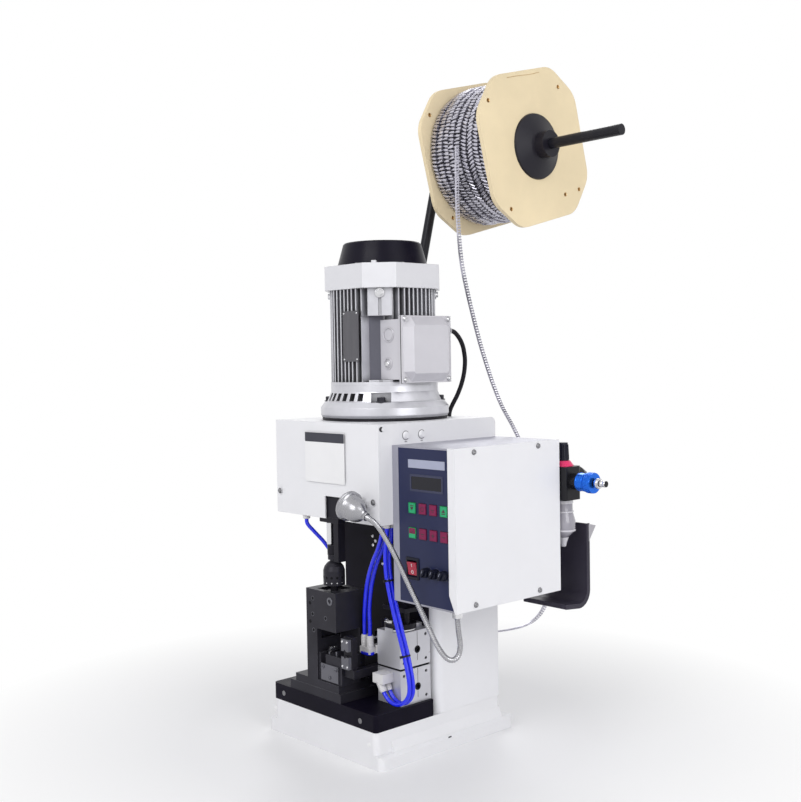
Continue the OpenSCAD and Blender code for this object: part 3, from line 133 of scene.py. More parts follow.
def surface(name, color, roughness, metallic=0.0, mottle=0.05, mottle_scale=14.0, grain=0.0,
            grain_scale=900.0, edge=0.5, edge_wear_and_highlight=None, edge_wear_and_highlight_amount=0.5, painted_crevice_shade=0.0, stretch=(1, 1, 1),
            coat=0.0, rough_spread=0.06, specular=0.5):
    """A principled surface with wandering colour, grain, softened edges and, if asked, edges painted lighter
    (partly worn, partly a painted highlight) and painted shade in crevices.
    """
    material = bpy.data.materials.new(name)
    material.use_nodes = True
    tree = material.node_tree
    spot = add(tree, "Mapping", "Vector", Vector=add(tree, "TexCoord", "Object"), Scale=stretch)
    cloud = add(tree, "TexNoise", "Fac", Vector=spot, Scale=mottle_scale, Detail=5.0, Roughness=0.6)
    painted = add(tree, "ValToRGB", "Color", Fac=cloud)
    stops = painted.node.color_ramp.elements
    for stop, position, change in zip(stops, (CLOUD_LOW, CLOUD_HIGH), (-mottle, mottle)):
        stop.position = position
        stop.color = (*[min(c * (1 + change), 1) for c in color], 1)

    rounded = add(tree, "Bevel", "Normal", settings=FEW_RAYS, Radius=edge * MM)
    # Edges painted lighter: partly wear, partly a painted highlight where edges catch the light.
    if edge_wear_and_highlight:
        flat = add(tree, "NewGeometry", "Normal")
        agree = add(tree, "VectorMath", "Value", rounded, flat, settings={"operation": "DOT_PRODUCT"})
        rubbed_and_lit = add(tree, "MapRange", "Result", Value=agree, From_Min=EDGE_STARTS, From_Max=EDGE_FULL,
                     To_Max=edge_wear_and_highlight_amount)
        patchy = add(tree, "Math", "Value", rubbed_and_lit, cloud, settings=MULTIPLY)
        painted = add(tree, "MixRGB", "Color", Fac=patchy, Color1=painted, Color2=(*edge_wear_and_highlight, 1))
    # Painted shade: ambient occlusion darkens the colour in crevices and recesses, where shade falls.
    if painted_crevice_shade:
        open_air = add(tree, "AmbientOcclusion", "AO", settings=FEW_RAYS, Distance=CREVICE_DEPTH)
        shade = add(tree, "MapRange", "Result", Value=open_air, From_Min=SHADE_FULL, From_Max=SHADE_ENDS,
                    To_Min=1 - painted_crevice_shade)
        painted = add(tree, "MixRGB", "Color", settings={"blend_type": "MULTIPLY"}, Fac=1.0,
                      Color1=painted, Color2=shade)

    haze = add(tree, "TexNoise", "Fac", Vector=spot, Scale=mottle_scale * HAZE_FINER, Detail=4.0)
    gloss = add(tree, "MapRange", "Result", Value=haze, From_Min=CLOUD_LOW, From_Max=CLOUD_HIGH,
                To_Min=max(roughness - rough_spread, SMOOTHEST), To_Max=roughness + rough_spread)
    fine = add(tree, "TexNoise", "Fac", Vector=spot, Scale=grain_scale, Detail=3.0)
    bump = add(tree, "Bump", "Normal", Strength=1.0, Distance=grain * MM, Height=fine, Normal=rounded)
    feed(tree, tree.nodes["Principled BSDF"], Base_Color=painted, Roughness=gloss, Normal=bump,
         Metallic=metallic, Coat_Weight=coat, Specular_IOR_Level=specular)
    finishes[name] = material


# %% [markdown]
# ## The machine's finishes
# The casings are off-white powder coat, whose orange peel is about a millimetre wide. The motor is die
# cast and sprayed silver, with painted shade in its crevices. Steel parts of the press are blackened and
# are painted lighter along their edges, partly as rubbed wear and partly as a painted highlight. Film,
# board, tube and glass each get amounts of their own.

# %% Make the finishes
# Edge colours given to a finish paint its edges lighter, partly as wear and partly as a painted highlight;
# crevice amounts paint shade into its crevices.
surface("powder_white", (0.80, 0.80, 0.825), 0.38, mottle=0.015, grain=0.035, grain_scale=700, edge=1.0)
surface("enamel_white", (0.79, 0.79, 0.81), 0.44, mottle=0.012, grain=0.012, specular=0.3,
        grain_scale=700, edge=0.9, rough_spread=0.03)
surface("cast_black", (0.005, 0.004, 0.010), 0.42, mottle=0.25, grain=0.05, specular=0.07,
        grain_scale=420, edge=0.9, edge_wear_and_highlight=(0.10, 0.10, 0.12), edge_wear_and_highlight_amount=0.6)
surface("black_oxide", (0.014, 0.013, 0.019), 0.38, metallic=0.15, mottle=0.25, specular=0.15,
        grain=0.02, grain_scale=1100, edge=0.6, edge_wear_and_highlight=(0.24, 0.24, 0.27), edge_wear_and_highlight_amount=0.7)
surface("tool_steel", (0.026, 0.025, 0.033), 0.40, metallic=0.25, mottle=0.22, specular=0.16,
        grain=0.03, grain_scale=800, edge=0.6, edge_wear_and_highlight=(0.30, 0.30, 0.33), edge_wear_and_highlight_amount=0.8)
surface("cast_aluminium", (0.60, 0.60, 0.64), 0.34, metallic=0.75, mottle=0.10, mottle_scale=22,
        grain=0.06, grain_scale=520, edge=0.8, painted_crevice_shade=0.65)
surface("band_silver", (0.70, 0.70, 0.73), 0.34, metallic=0.15, mottle=0.03, grain=0.03,
        grain_scale=600, edge=1.5, edge_wear_and_highlight=(0.88, 0.88, 0.90), edge_wear_and_highlight_amount=0.4)
surface("cowl_enamel", (0.006, 0.005, 0.012), 0.32, mottle=0.12, grain=0.02, specular=0.11,
        grain_scale=700, edge=0.8, edge_wear_and_highlight=(0.10, 0.10, 0.12), edge_wear_and_highlight_amount=0.4)
surface("box_silver", (0.62, 0.61, 0.65), 0.36, metallic=0.25, mottle=0.04, grain=0.04,
        grain_scale=650, edge=1.2, painted_crevice_shade=0.35)
surface("anodised_sheet", (0.34, 0.34, 0.40), 0.36, metallic=0.45, grain=0.01, grain_scale=1200,
        stretch=(1, 1, 0.04), edge=0.6)
surface("machined_steel", (0.58, 0.58, 0.60), 0.24, metallic=1.0, mottle=0.06, grain=0.008,
        grain_scale=1500, stretch=(1, 1, 0.08))
surface("ground_steel", (0.13, 0.13, 0.15), 0.32, metallic=0.7, mottle=0.08, grain=0.006,
        grain_scale=1400, stretch=(1, 1, 0.1), edge=0.4)
surface("bright_steel", (0.68, 0.68, 0.70), 0.18, metallic=1.0, grain=0.006, grain_scale=1500, edge=0.4)
surface("actuator_metal", (0.56, 0.56, 0.60), 0.30, metallic=0.5, grain=0.006, rough_spread=0.03)
surface("bronze", (0.55, 0.36, 0.16), 0.30, metallic=1.0, mottle=0.12, grain=0.01)
surface("rubber_black", (0.011, 0.010, 0.014), 0.55, mottle=0.15, grain=0.02, specular=0.2)
surface("panel_film", (0.018, 0.023, 0.070), 0.34, mottle=0.06, grain=0.012, specular=0.22,
        grain_scale=1500, edge=0.4)
surface("display_glass", (0.006, 0.006, 0.012), 0.08, mottle=0.1, edge=0.2, specular=0.3)
surface("board_green", (0.03, 0.19, 0.08), 0.42, mottle=0.2, mottle_scale=160, grain=0.05, edge=0.3)
surface("tube_blue", (0.006, 0.018, 0.80), 0.22, edge=0.1, coat=0.2)
surface("fitting_white", (0.72, 0.71, 0.72), 0.30, mottle=0.03, grain=0.01, painted_crevice_shade=0.25)
surface("regulator_black", (0.008, 0.008, 0.011), 0.32, mottle=0.15, grain=0.02, grain_scale=800,
        edge=0.6, specular=0.22)
surface("ring_red", (0.78, 0.02, 0.14), 0.28, edge=0.4)
surface("sleeve_blue", (0.012, 0.15, 0.74), 0.22, metallic=0.7, mottle=0.06)
surface("tray_grey", (0.036, 0.032, 0.048), 0.45, mottle=0.08, grain=0.04, specular=0.2,
        grain_scale=600, edge_wear_and_highlight=(0.26, 0.25, 0.29), edge_wear_and_highlight_amount=0.6)
surface("hose_steel", (0.42, 0.42, 0.44), 0.26, metallic=1.0, mottle=0.06, edge=0.2)
surface("spun_aluminium", (0.36, 0.36, 0.38), 0.26, metallic=0.85, grain=0.01)
surface("stand_enamel", (0.011, 0.011, 0.016), 0.34, mottle=0.1, grain=0.02, specular=0.2)
surface("fibre_board", (0.80, 0.67, 0.44), 0.62, mottle=0.06, mottle_scale=9, grain=0.05,
        grain_scale=420, edge=0.8, edge_wear_and_highlight=(0.9, 0.82, 0.62))
surface("tinned_strip", (0.56, 0.55, 0.62), 0.28, metallic=0.8, mottle=0.25, mottle_scale=160, edge=0.1)
surface("clamp_plastic", (0.012, 0.011, 0.017), 0.36, mottle=0.12, grain=0.02, edge=0.8, specular=0.22)
surface("key_green", (0.012, 0.26, 0.09), 0.38, mottle=0.06, grain=0.01, edge=0.4, specular=0.3)
surface("key_red", (0.16, 0.006, 0.050), 0.38, mottle=0.06, grain=0.01, edge=0.4, specular=0.3)
surface("rocker_red", (0.40, 0.007, 0.04), 0.22, coat=0.25, specular=0.3)
surface("knob_black", (0.008, 0.009, 0.020), 0.30, mottle=0.1, edge=0.4, specular=0.2)
surface("fan_black", (0.018, 0.018, 0.022), 0.5, mottle=0.1, edge=0.4, specular=0.2)
surface("lens_glass", (0.72, 0.74, 0.78), 0.10, mottle=0.03, edge=0.2, coat=0.6)
print("finishes", len(finishes))

# %% [markdown]
# ## Which piece wears which finish
# The measured pieces keep their own meshes, so here they only change their material. A table from
# finish to nodes keeps it in one place, and the last line tells if a node was forgotten.

# %% Dress the measured pieces
NODE_FINISH = {
    "powder_white": "column_casing head_casing head_cover control_cover",
    "enamel_white": "base",
    "cast_black": "bed_plate c_frame",
    "cast_aluminium": "motor_flange motor_frame",
    "band_silver": "motor_end_band",
    "cowl_enamel": "fan_cowl",
    "box_silver": "junction_box",
    "rubber_black": "motor_cable",
    "anodised_sheet": "control_box",
    "panel_film": "control_panel",
    "board_green": "circuit_boards",
    "machined_steel": "bearings rotor crankshaft",
    "bronze": "ram_gibs",
    "tool_steel": "applicator_frame applicator_ram height_dial feed_lever",
    "bright_steel": "anvil crimper",
    "ground_steel": "jaw_upper jaw_lower",
    "actuator_metal": "strip_actuator solenoid_valve",
    "fitting_white": "air_fittings",
    "tube_blue": "tube_left tube_middle tube_right",
    "regulator_black": "air_regulator",
    "tray_grey": "tray",
    "hose_steel": "lamp_neck",
    "spun_aluminium": "lamp_head",
    "stand_enamel": "reel_stand",
    "tinned_strip": "terminal_strip strip_pack",
    "black_oxide": "ram_slide strip_slide",
    "fan_black": "motor_fan",
    "rocker_red": "power_rocker",
    "fibre_board": "reel",
    "clamp_plastic": "reel_clamp",
    "key_green": "key_1 key_4 key_5",
    "key_red": "key_2 key_3 key_6 key_7 key_8",
    "knob_black": "selector_1 selector_2 selector_3 regulator_knob",
    "sleeve_blue": "coupler_sleeve",
}
for finish, names in NODE_FINISH.items():
    for name in names.split():
        worn = nodes[name].data.materials
        worn.clear()
        worn.append(finishes[finish])
print("nodes without a finish", sorted(set(nodes) - set(" ".join(NODE_FINISH.values()).split())))

# %% [markdown]
# ## Tools for making pieces
# Most parts of a machine are either turned, stacked or drawn along a line. All three are skins over rings
# of points: outlines at rising heights, circles up a profile, circles along a line. Each works in a local
# frame that lies on a face, so a piece is described as a fitter would: where it sits, which way it
# points, how high it stands.

# %% Helpers for frames and outlines
RIGHT, FORWARD, BACKWARD, UP, DOWN = (1, 0, 0), (0, -1, 0), (0, 1, 0), (0, 0, 1), (0, 0, -1)
CORNERS = ((-1, -1), (-1, 1), (1, -1), (1, 1))
PARALLEL = 1e-6


def facing(place, out, up=UP):
    """Frame on a face: local Z points out of it, local Y towards up. Place is in millimetres."""
    z = Vector(out).normalized()
    x = Vector(up).cross(z)
    if x.length < PARALLEL:
        x = Vector(RIGHT)
    x.normalize()
    return axes_at(place, x, z.cross(x), z)


def rounded_outline(width, height, radius, steps=5):
    """Rectangle with round corners about the middle, anticlockwise."""
    points = []
    for quarter, (side_x, side_y) in enumerate([(1, 1), (-1, 1), (-1, -1), (1, -1)]):
        for k in range(steps + 1):
            angle = math.pi / 2 * (quarter + k / steps)
            points.append((side_x * (width / 2 - radius) + radius * math.cos(angle),
                           side_y * (height / 2 - radius) + radius * math.sin(angle)))
    return points


def circle_outline(radius, sides=32):
    """Circle about the middle, anticlockwise."""
    angles = [2 * math.pi * k / sides for k in range(sides)]
    return [(radius * math.cos(angle), radius * math.sin(angle)) for angle in angles]


print("corners of a round square", len(rounded_outline(10, 10, 2)))

# %% Helpers for stacked, turned and swept shapes
POINT_RADIUS = 0.01


def skin(bm, rings, closed=False):
    """Faces between rings of equal counts, with end caps or, if closed, from the last ring to the first."""
    rings = [[bm.verts.new(point) for point in ring] for ring in rings]
    for low, high in zip(rings, rings[1:] + rings[:1] if closed else rings[1:]):
        for i in range(len(low)):
            j = (i + 1) % len(low)
            bm.faces.new((low[i], low[j], high[j], high[i]))
    if not closed:
        bm.faces.new(rings[0][::-1])
        bm.faces.new(rings[-1])


def stack(bm, place, loops, closed=False):
    """Skin through outlines with equal counts, each given as (height, outline)."""
    skin(bm, [[place @ Vector((u, v, height)) for u, v in outline] for height, outline in loops], closed)


def plate(bm, place, outline, high, low=0.0):
    """Flat plate with one outline, between two heights over a face."""
    stack(bm, place, [(low, outline), (high, outline)])


def block(bm, low, high):
    """Box between two corners."""
    low, high = Vector(low), Vector(high)
    middle = (low + high) / 2
    half = (high - low) / 2
    outline = [(half.x, half.y), (-half.x, half.y), (-half.x, -half.y), (half.x, -half.y)]
    plate(bm, Matrix.Translation((middle.x, middle.y, low.z)), outline, (high - low).z)


def turned(bm, place, profile, sides=48, closed=False):
    """Turn (radius, height) points about local Z."""
    stack(bm, place, [(h, circle_outline(max(r, POINT_RADIUS), sides)) for r, h in profile], closed)


def hollow(bm, place, profile, sides):
    """Turn a profile that closes on itself, such as a ring or the wall of a cup."""
    turned(bm, place, profile, sides, closed=True)


def disc(bm, place, radius, height, sides=24):
    """Low round plate on a face."""
    turned(bm, place, [(0, 0), (radius, 0), (radius, height), (0, height)], sides)


def ring(bm, place, inner, outer, high, low=0.0, sides=28):
    """Square ring round local Z."""
    hollow(bm, place, [(outer, low), (outer, high), (inner, high), (inner, low)], sides)


def band(bm, place, inner, outer, low, high, cut, rise, sides=64):
    """Ring round local Z whose two outer edges are cut back."""
    hollow(bm, place, [(inner, low), (outer - cut, low), (outer, low + rise), (outer, high - rise),
                       (outer - cut, high), (inner, high)], sides)


def rod(bm, start, end, radius, sides=24, chamfer=0.3):
    """Round rod between two points, with a small chamfer at both ends."""
    along = Vector(end) - Vector(start)
    length = along.length
    turned(bm, facing(start, along), [(radius - chamfer, 0), (radius, chamfer), (radius, length - chamfer),
                                      (radius - chamfer, length)], sides)


def ways(line):
    """Direction of a line at each of its points."""
    last = len(line) - 1
    return [(line[min(i + 1, last)] - line[max(i - 1, 0)]).normalized() for i in range(last + 1)]


def swept(bm, line, radius_at, sides=16):
    """Closed tube along a line of vectors in millimetres, whose radius may change from ring to ring."""
    side = Vector((0.31, 0.17, 0.93))
    rings = []
    for i, (point, way) in enumerate(zip(line, ways(line))):
        side = (side - side.dot(way) * way).normalized()
        other = way.cross(side)
        rings.append([point + radius_at(i) * (side * u + other * v) for u, v in circle_outline(1, sides)])
    skin(bm, rings)


print("shape helpers ready")

# %% [markdown]
# ## From a mesh to a piece
# A piece is filled with shapes in millimetres inside a with block. When the block ends, the mesh is scaled
# to metres, shaded smooth below a fold of 38 degrees, and tied to the body that it moves with.

# %% Helpers that make a piece and measure a node
SMOOTH_BELOW = math.radians(38)
EDGE_SEGMENTS = 2


@contextmanager
def piece(name, slot, finish, body="machine", stands_for=None, edge=0.0):
    """Gather a mesh in millimetres and, at the end of the block, make it a piece that rides on a body."""
    bm = bmesh.new()
    yield bm
    bmesh.ops.scale(bm, vec=(MM, MM, MM), verts=bm.verts)
    bmesh.ops.recalc_face_normals(bm, faces=bm.faces)
    mesh = bpy.data.meshes.new(name)
    bm.to_mesh(mesh)
    bm.free()
    mesh.materials.append(finishes[finish])
    mesh.shade_smooth()
    mesh.set_sharp_from_angle(angle=SMOOTH_BELOW)
    made = show(name, mesh)
    if edge:
        soften = made.modifiers.new("soft_edges", "BEVEL")
        soften.width = edge * MM
        soften.segments = EDGE_SEGMENTS
        soften.limit_method = "ANGLE"
        soften.angle_limit = SMOOTH_BELOW
        soften.harden_normals = True
    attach(made, body)
    if stands_for:
        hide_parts(stands_for)


def node_box(name):
    """Corners of a measured node in millimetres."""
    low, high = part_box(name)
    return low / MM, high / MM


print("piece helpers ready")

# %% [markdown]
# ## Free cords
# Five air tubes, the motor's cable and the strip of terminals hang free. Each follows points that were
# given along its real route. A Catmull-Rom curve runs through such points and needs no handles,
# so the route stays a short list that a person can read and change. Tubes and cable are curves with a
# round bevel, because a curve keeps its real length however it bends. Each is drawn with its diameter,
# and it stands for the plain tube of the measured model.

# %% The smooth line through a cord's points
LINE_STEPS = 8


def smooth_line(points, steps=LINE_STEPS):
    """Catmull-Rom line through points in millimetres, as vectors in metres."""
    last = len(points) - 1
    line = []
    for i in range(last):
        a, b, c, d = (Vector(points[min(max(j, 0), last)]) for j in (i - 1, i, i + 1, i + 2))
        for k in range(steps):
            t = k / steps
            line.append(0.5 * MM * (2 * b + (c - a) * t + (2 * a - 5 * b + 4 * c - d) * t * t
                                    + (3 * b - a - 3 * c + d) * t ** 3))
    return line + [Vector(points[last]) * MM]


def line_length(line):
    return sum((b - a).length for a, b in zip(line, line[1:]))


print("smooth steps between two points", LINE_STEPS)

# %% Lay the tubes and the motor's cable
TUBE_DIAMETER, CABLE_DIAMETER = 6, 7
TUBE_ROUTES = {
    ("air_tube_left", "tube_left"): [
        (-56, -117, 341), (-55, -116, 332), (-49, -108, 320), (-40, -98, 305), (-31, -90, 288),
        (-25, -86, 272), (-22, -86, 262)],
    ("air_tube_middle_a", "tube_middle"): [
        (98, -98, 341), (97, -98, 328), (89, -98, 308), (74, -98, 282), (61, -97, 250), (53, -95, 216),
        (48, -92, 190), (46, -90, 172)],
    ("air_tube_middle_b", "tube_middle"): [
        (98, -88, 341), (97.5, -88.5, 328), (91, -91, 308), (77, -91.5, 282), (65, -91, 250),
        (58.5, -90.5, 216), (58, -90, 190), (58, -90, 172)],
    ("air_tube_right_a", "tube_right"): [
        (112, -101, 341), (111, -101, 325), (109, -102, 300), (112, -103, 270), (119, -102, 238),
        (128, -99, 200), (137, -96, 165), (145.4, -95.6, 136), (148.4, -95.8, 122), (149.2, -96, 112),
        (147.7, -96.5, 103.2), (141.7, -97.5, 93.9), (132.4, -99, 87.9), (121.4, -100.5, 86.5),
        (110.8, -101.5, 89.8), (102.6, -102, 97.3), (100, -102, 101)],
    ("air_tube_right_b", "tube_right"): [
        (112, -91, 341), (111, -91.5, 325), (109.5, -94.5, 300), (113, -96, 270), (120.5, -95.4, 238),
        (129.5, -92.4, 200), (138.5, -89.4, 165), (146, -88.6, 136), (148.9, -88.8, 122), (149.7, -89, 112),
        (148.2, -89.3, 103.2), (142.2, -89.7, 93.9), (132.9, -90.2, 87.9), (121.9, -90.7, 86.5),
        (111.3, -91, 89.8), (103.1, -91, 97.3), (100.5, -91, 101)],
}
MOTOR_CABLE = [(86, 58, 626.5), (86, 64, 625.9), (85.9, 70, 623.6), (85.5, 76.5, 618.9), (84.5, 84, 611.5),
               (83, 90.7, 602), (81.6, 94.8, 592), (80, 97.9, 581.2), (77.8, 99.4, 569.5), (75, 99.8, 557.6),
               (71.2, 99.4, 545.5), (67, 98, 534), (62.6, 96, 523.5), (58, 93.7, 514.3), (53.8, 91.7, 505.5),
               (51.6, 90.5, 498.5), (50.8, 90, 492)]


def lay_cord(name, points, diameter, finish, node_name):
    line = smooth_line(points)
    data = bpy.data.curves.new(name, "CURVE")
    data.dimensions = "3D"
    data.bevel_depth = diameter / 2 * MM
    data.bevel_resolution = 6
    data.use_fill_caps = True
    spline = data.splines.new("POLY")
    spline.points.add(len(line) - 1)
    for point, place in zip(spline.points, line):
        point.co = (*place, 1)
    spline.use_smooth = True
    data.materials.append(finishes[finish])
    cord = show(name, data)
    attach(cord, "machine")
    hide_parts(node_name)
    print(name, round(line_length(line), 3), "m")


for (name, node_name), route in TUBE_ROUTES.items():
    lay_cord(name, route, TUBE_DIAMETER, "tube_blue", node_name)
lay_cord("motor_lead", MOTOR_CABLE, CABLE_DIAMETER, "rubber_black", "motor_cable")

# %% [markdown]
# ## The strip of terminals
# The strip is a flat chain: rolled terminals stand side by side like the teeth of a comb on a thin
# carrier. A loop walks along the route and sets one terminal at every pitch. The chain follows the same
# line as the measured strip, and it stands for that strip.

# %% Helpers that walk along a line and set terminals on it
TERMINAL_PITCH = 4.2
CHAIN_WIDTH = 9.0
CARRIERS = ((-CHAIN_WIDTH / 2, -1.5, 0.5), (2.6, 3.4, 0.4))


def walk(line, pitch):
    """Evenly spaced (point, direction) pairs along a line in millimetres."""
    steps = []
    left = 0.0
    for a, b in zip(line, line[1:]):
        span = (b - a).length
        way = (b - a) / span
        while left < span:
            steps.append((a + way * left, way))
            left += pitch
        left -= span
    return steps


def chain_frame(point, way):
    """Frame on the chain: local X along it, local Y across it, local Z out of its open side."""
    across = Vector(RIGHT)
    across = (across - across.dot(way) * way).normalized()
    return axes_at(point, way, across, way.cross(across))


def flat_strip(bm, line, from_side, to_side, thick):
    """Thin strip along a line, between two places across it."""
    half = thick / 2
    section = ((from_side, -half), (to_side, -half), (to_side, half), (from_side, half))
    skin(bm, [[chain_frame(point, way) @ Vector((0, v, w)) for v, w in section]
              for point, way in zip(line, ways(line))])


def set_terminal(bm, point, way):
    """One terminal across the chain: an open barrel with two wings, and a rolled tongue."""
    here = chain_frame(point, way) @ axes_at((0, 0, 0), RIGHT, DOWN, BACKWARD)
    barrel = [(-1.5, -1.5), (-1.1, -1.5), (-0.9, -0.1), (0.9, -0.1), (1.1, -1.5), (1.5, -1.5), (1.3, 0.3),
              (-1.3, 0.3)]
    tongue = [(u * 0.62, v * 0.7) for u, v in barrel]
    plate(bm, here, barrel, 1.2, -1.6)
    plate(bm, here, tongue, CHAIN_WIDTH / 2, 1.0)


print("pitch", TERMINAL_PITCH, "mm")

# %% Chain the free terminals together
TERMINAL_STRIP = [(127, 39.2, 900), (127, 38.4, 850), (127, 39.5, 790), (127, 45.5, 730), (127, 56.5, 687),
                  (127, 70, 645), (127, 83, 608), (127, 98, 572), (127, 115, 536), (127, 133, 505),
                  (127, 158, 472), (127, 186, 430), (127, 214, 382), (126, 236, 322), (124, 247, 262),
                  (122, 247, 208), (119, 238, 174), (114, 220, 154), (107, 196, 145), (98, 168, 142),
                  (88, 140, 142), (78, 112, 143), (58, 72, 146), (28, 34, 149), (7, 4, 150), (3, -26, 150),
                  (3, -56, 150), (3, -84, 150)]
strip_path = smooth_line(TERMINAL_STRIP)
strip_line = [point / MM for point in strip_path]
with piece("terminal_chain", "terminal_metal", "tinned_strip", stands_for="terminal_strip") as bm:
    for from_side, to_side, thick in CARRIERS:
        flat_strip(bm, strip_line, from_side, to_side, thick)
    for point, way in walk(strip_line, TERMINAL_PITCH):
        set_terminal(bm, point, way)
print("terminals", len(walk(strip_line, TERMINAL_PITCH)), "on", round(line_length(strip_path), 3), "m")

# %% [markdown]
# ## The flexible lamp
# The neck is a hose wound from steel strip, so its outside is a row of small rounded turns. Sweeping a
# ring whose radius swings between crest and groove gives that at once. The shade is spun: a small cup at
# the neck, a bell, and a rolled rim round the lens.

# %% Make the lamp's neck and shade
LAMP_NECK = [(244, -92, 235.8), (244.4, -92.3, 226), (249, -95, 212), (256, -99.5, 196), (257, -104, 184),
             (251, -109, 177), (241, -114, 181), (229, -119.5, 199), (212, -126, 234), (192, -134, 276),
             (170, -141, 318), (152, -147.5, 347), (138, -150, 359.1), (126, -150, 363)]
LAMP_SOCKET = (244, -92, 231)
NECK_RADIUS, NECK_TURN = 4.0, 2.6
NECK_SWING = (0.0, -0.32, -0.75, -0.32)
neck_line = [point / MM for point in smooth_line(LAMP_NECK, 2 * LINE_STEPS)]
neck_steps = [point for point, way in walk(neck_line, NECK_TURN / len(NECK_SWING))] + [neck_line[-1]]
with piece("lamp_hose", "neck_metal", "hose_steel", stands_for="lamp_neck") as bm:
    swept(bm, neck_steps, lambda i: NECK_RADIUS + NECK_SWING[i % len(NECK_SWING)], 20)

LAMP_TILT = math.radians(-72)
shade_way = Vector((math.sin(LAMP_TILT), 0, math.cos(LAMP_TILT)))
shade_frame = facing(Vector(LAMP_NECK[-1]) + shade_way * 0.15, shade_way)
with piece("lamp_shade", "lamp_metal", "spun_aluminium", stands_for="lamp_head") as bm:
    turned(bm, shade_frame, [
        (0, 0), (5.6, 0), (6.0, 0.4), (6.0, 3), (5.2, 3.4), (5.2, 5), (6.6, 5.6), (8.0, 8.0), (10.0, 10.4),
        (12.8, 13.4), (15.2, 17.2), (16.4, 20.5), (17.4, 26), (18.4, 33.5), (19.2, 35.4), (21.2, 36.4),
        (22.0, 37.4), (22.0, 39), (21.2, 39.6), (21.2, 40.4), (22.0, 41), (22.0, 43), (21.4, 44), (19.2, 44),
        (18.4, 43.2), (18.0, 40.8), (0, 40.8)], 64)
with piece("lamp_lens", "lamp_metal", "lens_glass") as bm:
    turned(bm, shade_frame, [(0, 40.9), (17.8, 40.9), (17.8, 42.2), (12, 43.0), (6, 43.4), (0, 43.5)])
with piece("lamp_nut", "neck_metal", "bright_steel", edge=0.5) as bm:
    turned(bm, facing(LAMP_SOCKET, UP), [(6.4, -1.5), (7.4, -0.5), (7.4, 6.2), (6.4, 7)], 6)
print("neck turns", len(neck_steps) // len(NECK_SWING))

# %% [markdown]
# ## The wound reel
# A full reel of terminals is not smooth: the chain lies in side-by-side turns, each terminal shows, and
# later layers sink into the gaps of the ones below. Modelling the whole spiral would hide nearly all of
# it, so only the outer layer is built: nine columns round the core, each terminal set by a small seeded
# random tilt. The dark steel core behind it is painted shade: it reads as the shaded gaps between turns.

# %% Wind the outer layer of the reel
PACK_COLUMNS = 9
TERMINALS_PER_TURN = 118
TERMINAL_FILL = 0.46
WINDING_DEPTH = 3.4
WAVE_HEIGHT, WAVES_PER_TURN, COLUMN_PHASE = 0.9, 3, 1.7
pack_low, pack_high = node_box("strip_pack")
reel_middle = (pack_low + pack_high) / 2
pack_width = pack_high.x - pack_low.x
pack_radius = (pack_high.z - pack_low.z) / 2
column_width = (pack_width - 1.0) / PACK_COLUMNS
half = column_width * TERMINAL_FILL
dice = random.Random(7)

# Painted shade: a dark core stands for the shaded gaps between the wound turns.
with piece("reel_core_shade", "pack_metal", "tool_steel", body="supply_reel", stands_for="strip_pack") as bm:
    turned(bm, facing((pack_low.x + 0.3, reel_middle.y, reel_middle.z), RIGHT),
           [(pack_radius - 7, 0), (pack_radius - 5.2, 1), (pack_radius - 5.2, pack_width - 1.6),
            (pack_radius - 7, pack_width - 0.6)], 96)

with piece("wound_terminals", "pack_metal", "tinned_strip", body="supply_reel") as bm:
    for column in range(PACK_COLUMNS):
        lean = dice.uniform(-0.5, 0.5)
        start = dice.uniform(0, 1)
        middle = Vector((pack_low.x + 0.5 + (column + 0.5) * column_width, reel_middle.y, reel_middle.z))
        for k in range(TERMINALS_PER_TURN):
            angle = 2 * math.pi * (k + start) / TERMINALS_PER_TURN
            wave = WAVE_HEIGHT * math.sin(angle * WAVES_PER_TURN + column * COLUMN_PHASE)
            wave += dice.uniform(-0.7, 0.7)
            out = Vector((0, math.sin(angle), math.cos(angle)))
            round_way = Vector((0, math.cos(angle), -math.sin(angle)))
            along = (Vector(RIGHT) + round_way * (lean + dice.uniform(-0.18, 0.18))).normalized()
            side = out.cross(along).normalized()
            place = axes_at(middle + out * (pack_radius - WINDING_DEPTH + wave), side, out, -along)
            wide = dice.uniform(1.7, 2.3)
            tall = dice.uniform(1.1, 1.6)
            barrel = [(wide, -2.2), (wide, tall * 0.3), (wide * 0.5, tall), (-wide * 0.5, tall),
                      (-wide, tall * 0.3), (-wide, -2.2)]
            tongue = [(u * 0.55, v * 0.6 - 0.8) for u, v in barrel]
            stack(bm, place, [(-half, barrel), (half * 0.25, barrel), (half * 0.45, tongue), (half, tongue)])
print("wound terminals", PACK_COLUMNS * TERMINALS_PER_TURN)

# %% [markdown]
# ## Trim of the reel
# The flanges are cut from pale board. Close to, one sees the bushings in their screw holes and a faint
# score near one straight edge. Both are placed in the flange's own directions, which lean with the reel.

# %% Add the reel's bushings and score line
FLANGE_HOLES = [(-88, 80), (-82, -81), (85, -80), (77, 81), (49, -82)]
FLANGE_THICK = 7
REEL_TURN = math.radians(15)
reel_low, reel_high = node_box("reel")


def on_flange(y, z, x):
    """A point of the flange's own frame, turned with the reel."""
    return Vector((x, reel_middle.y + y * math.cos(REEL_TURN) - z * math.sin(REEL_TURN),
                   reel_middle.z + y * math.sin(REEL_TURN) + z * math.cos(REEL_TURN)))


with piece("flange_bushings", "reel_board", "bronze", body="supply_reel") as bm:
    for y, z in FLANGE_HOLES:
        for x, way in ((reel_high.x, 1), (reel_high.x - FLANGE_THICK, -1),
                       (reel_low.x, -1), (reel_low.x + FLANGE_THICK, 1)):
            hollow(bm, facing(on_flange(y, z, x), (way, 0, 0)),
                   [(3.0, -3), (3.0, 0), (3.2, 0.25), (2.7, 0.25), (2.1, -0.6), (2.1, -3)], 20)

